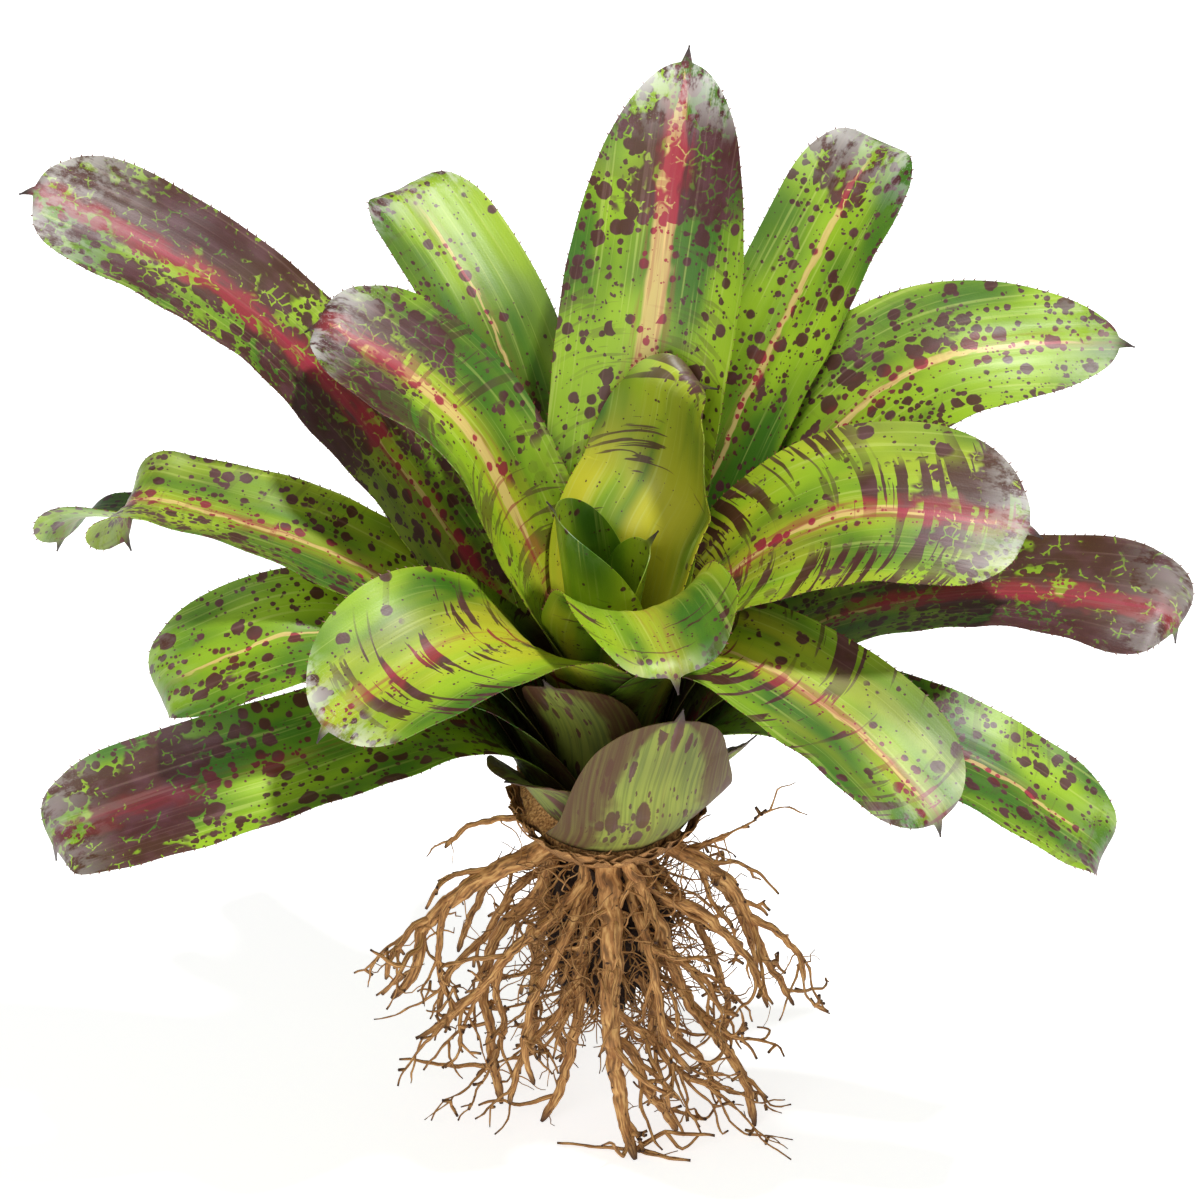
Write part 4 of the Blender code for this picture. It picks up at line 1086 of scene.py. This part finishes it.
def scales_mesh(bark, rng, count):
    """Torn papery scales, what is left of dead leaves, round the crown outside the lowest sheaths."""
    rows, columns = 12, 12
    # The collar's own outline: height from the crown's base, then reach.
    profile = np.array([(-0.0120, 0.0325), (-0.0040, 0.0366), (0.0, 0.0376), (0.0100, 0.0440)])
    points, arounds, alongs, quads = [], [], [], []
    for k in range(count):
        turn = k * 2 * math.pi * GOLDEN + rng.uniform(-0.1, 0.1)
        spread_angle = rng.uniform(0.26, 0.46)
        top = rng.uniform(-0.0020, 0.0030)
        u = np.linspace(-1, 1, columns)[None, :]
        v = np.linspace(0, 1, rows)[:, None]
        torn = 0.0011 * np.sin(u * rng.uniform(5, 9) + rng.uniform(0, 6)) + 0.0009 * np.sin(u * 17 + k)
        rise = -0.0120 + (top + torn + 0.0120) * v * (1 - 0.20 * u ** 2)
        crumple = 0.0007 * np.sin(u * 7 + v * 5 + k) + 0.0005 * np.sin(u * 13 - v * 9 + k * 2)
        reach = np.interp(rise, profile[:, 0], profile[:, 1]) + 0.0006 + crumple * v
        reach = reach + 0.0012 * (k % 3) * v
        angle = turn + u * spread_angle * (1 - 0.25 * v)
        for lift in (0.00015, -0.00015):
            grid = np.stack([(reach + lift) * np.cos(angle), (reach + lift) * np.sin(angle), rise], axis=-1)
            points.append(to_plant(grid).reshape(-1, 3))
            arounds.append(np.stack([reach * angle, 0 * reach, 0 * reach], axis=-1).reshape(-1, 3))
            alongs.append((rise + k).reshape(-1))
        quads.append(sheet_quads(rows, columns) + k * 2 * rows * columns)
    mesh = closed_mesh("collar_scales", np.concatenate(points), np.concatenate(quads))
    mark_bark(mesh, np.concatenate(arounds), np.concatenate(alongs), bark)
    return mesh


def painted_shade_material(settings):
    """Painted shade for the middle of the tangle: almost black, matt, crumbly."""
    material, n = new_material("painted_shade_root_core")
    place = add_node(n.tree, "ShaderNodeTexCoord").outputs["Object"]
    crumbs = n.noise(place, 520, 4.0)
    tone = n.blend(crumbs, rgba(settings.core), rgba([c * 0.6 for c in settings.bark_dark]))
    n.surface({"Base Color": tone, "Roughness": 0.95, "Normal": n.bump(1.0, 0.0015, crumbs)})
    return material


def painted_shade_mesh(centre, half, material):
    """A lumpy ball, with waves of four sizes: height, then pitch along x, y and z."""
    waves = ((0.06, 9, 0, 7), (0.05, 0, 13, -11), (0.04, 27, 21, 0), (0.03, 17, 0, 41))
    mesh = bpy.data.meshes.new("painted_shade_core")
    shape = bmesh.new()
    bmesh.ops.create_icosphere(shape, subdivisions=6, radius=1.0)
    for vert in shape.verts:
        d = np.array(vert.co)
        lump = sum(tall * math.sin(d @ pitch) for tall, *pitch in waves)
        vert.co = Vector(centre + d * half * (0.93 + lump))
    shape.to_mesh(mesh)
    shape.free()
    mesh.shade_smooth()
    mesh.materials.append(material)
    return mesh


class BROMELIAD_OT_rootlets(Operator):
    """Fills the tangle with fine rootlets round a near-black ball of painted shade in its middle"""

    bl_idname = "bromeliad.rootlets"
    bl_label = "Rootlets"

    def execute(self, context):
        settings = context.scene.bromeliad_root
        rng = np.random.default_rng(settings.seed + 1)
        centre, half = np.array(CORE[0]), np.array(CORE[1])
        # A near-black lumpy ball of painted shade fills the tangle's middle.
        add_piece("painted_shade_core", painted_shade_mesh(centre, half, painted_shade_material(settings)))

        hairs = []
        for _ in range(settings.rootlets):
            way = unit(rng.normal(0, 1, 3) * np.array((1, 1, 0.8)))
            start = centre + way * half * rng.uniform(0.75, 1.0)
            heading = way * np.array((1, 1, 0.4)) + np.array((0, 0, -0.8 * rng.random()))
            points, wide = tendril(rng, start, heading, rng.uniform(0.014, 0.05),
                                   rng.uniform(0.0003, 0.0006), 0.42, 10)
            hairs.append((inside_box(points), wide))
        for path, radii in main_routes():
            for _ in range(settings.root_hairs):
                at = int(rng.uniform(0.1, 0.95) * (len(path) - 2))
                if abs(path[at][0]) > 0.05 and rng.random() < 0.6:
                    continue
                points, wide = tendril(rng, path[at], rng.normal(0, 1, 3), rng.uniform(0.006, 0.026),
                                       rng.uniform(0.00025, 0.0005), 0.45, 8)
                hairs.append((inside_box(points), wide))
        fine = grow("fine_rootlets", curve_object("fine_rootlets", hairs), tube_tree(), {
            "Step": 0.0028, "Sides": 5, "Crinkle": settings.crinkle * 0.4, "Ridge": 0.0,
            "Material": bpy.data.materials["dry_root_bark"]})
        add_piece("fine_rootlets", fine)
        return {"FINISHED"}


class BROMELIAD_OT_stage(Operator):
    """Sets the white floor, the lights and the camera"""

    bl_idname = "bromeliad.stage"
    bl_label = "Stage"

    def execute(self, context):
        settings = context.scene.bromeliad_stage
        scene = context.scene

        def place(name, data, where, way):
            """Puts a light or camera in the scene, pointing along way."""
            made = bpy.data.objects.new(name, data)
            made.location = where
            made.rotation_euler = way.to_track_quat("-Z", "Y").to_euler()
            scene.collection.objects.link(made)
            return made

        # Matt white acrylic, lit a little from within, so that only the contact shadows show on it.
        material, n = new_material("lit_white_acrylic")
        n.surface({"Base Color": (0.7, 0.7, 0.7, 1), "Roughness": 0.9, "Emission Color": (1, 1, 1, 1),
                   "Emission Strength": settings.glow})
        mesh = bpy.data.meshes.new("floor")
        far = settings.floor_size / 2
        corners = [(-far, -far, 0), (far, -far, 0), (far, far, 0), (-far, far, 0)]
        mesh.from_pydata(corners, [], [(0, 1, 2, 3)])
        mesh.materials.append(material)
        floor = bpy.data.objects.new("floor", mesh)
        scene.collection.objects.link(floor)

        scene.world = bpy.data.worlds.new("even_sky")
        scene.world.use_nodes = True
        sky = scene.world.node_tree.nodes["Background"].inputs
        sky["Color"].default_value = (1, 1, 1, 1)
        sky["Strength"].default_value = settings.sky

        key = bpy.data.lights.new("key", "SUN")
        key.energy = settings.key
        key.angle = math.radians(5)
        place("key", key, (0, 0, 0), Vector((-0.30, 0.22, -1.0)))

        soft = bpy.data.lights.new("fill", "AREA")
        soft.energy = settings.fill
        soft.size = 1.6
        beside_camera = Vector((-0.7, -2.0, 0.9))
        place("fill", soft, beside_camera, Vector((0, 0, 0.15)) - beside_camera)

        up = Vector((0, math.sin(settings.elevation), math.cos(settings.elevation)))
        view = Vector((0, math.cos(settings.elevation), -math.sin(settings.elevation)))
        pixel = settings.frame_width / PICTURE_SIZE
        across, down = (at - PICTURE_SIZE / 2 for at in CROWN_PIXEL)
        aim = Vector((0, 0, CROWN_HEIGHT)) + up * down * pixel - Vector((1, 0, 0)) * across * pixel
        camera = bpy.data.cameras.new("camera")
        camera.sensor_width = 36
        camera.lens = 36 * settings.distance / settings.frame_width
        camera.clip_end = 100
        scene.camera = place("camera", camera, aim - view * settings.distance, view)
        scene.view_settings.view_transform = "Standard"
        return {"FINISHED"}


class BROMELIAD_PT_panel(Panel):
    """Lists the bromeliad's operators and sizes"""

    bl_idname = "BROMELIAD_PT_panel"
    bl_label = "Bromeliad"
    bl_space_type = "VIEW_3D"
    bl_region_type = "UI"
    bl_category = "Bromeliad"

    def draw(self, context):
        for operator in OPERATORS:
            self.layout.operator(operator.bl_idname)
        for group in GROUPS:
            box = self.layout.box()
            for name in GROUPS[group].__annotations__:
                box.prop(getattr(context.scene, group), name)


GROUPS = {"bromeliad_leaf": LeafSettings, "bromeliad_root": RootSettings, "bromeliad_stage": StageSettings}
OPERATORS = (
    BROMELIAD_OT_stage, BROMELIAD_OT_leaves, BROMELIAD_OT_spines, BROMELIAD_OT_roots, BROMELIAD_OT_rootlets)


def register():
    for cls in (*GROUPS.values(), *OPERATORS, BROMELIAD_PT_panel):
        bpy.utils.register_class(cls)
    for name, cls in GROUPS.items():
        setattr(bpy.types.Scene, name, PointerProperty(type=cls))


def unregister():
    for name in GROUPS:
        delattr(bpy.types.Scene, name)
    for cls in (BROMELIAD_PT_panel, *reversed(OPERATORS), *reversed(list(GROUPS.values()))):
        bpy.utils.unregister_class(cls)


def main():
    register()
    bpy.ops.bromeliad.stage()
    bpy.ops.bromeliad.leaves()
    bpy.ops.bromeliad.spines()
    bpy.ops.bromeliad.roots()
    bpy.ops.bromeliad.rootlets()


if __name__ == "__main__":
    main()
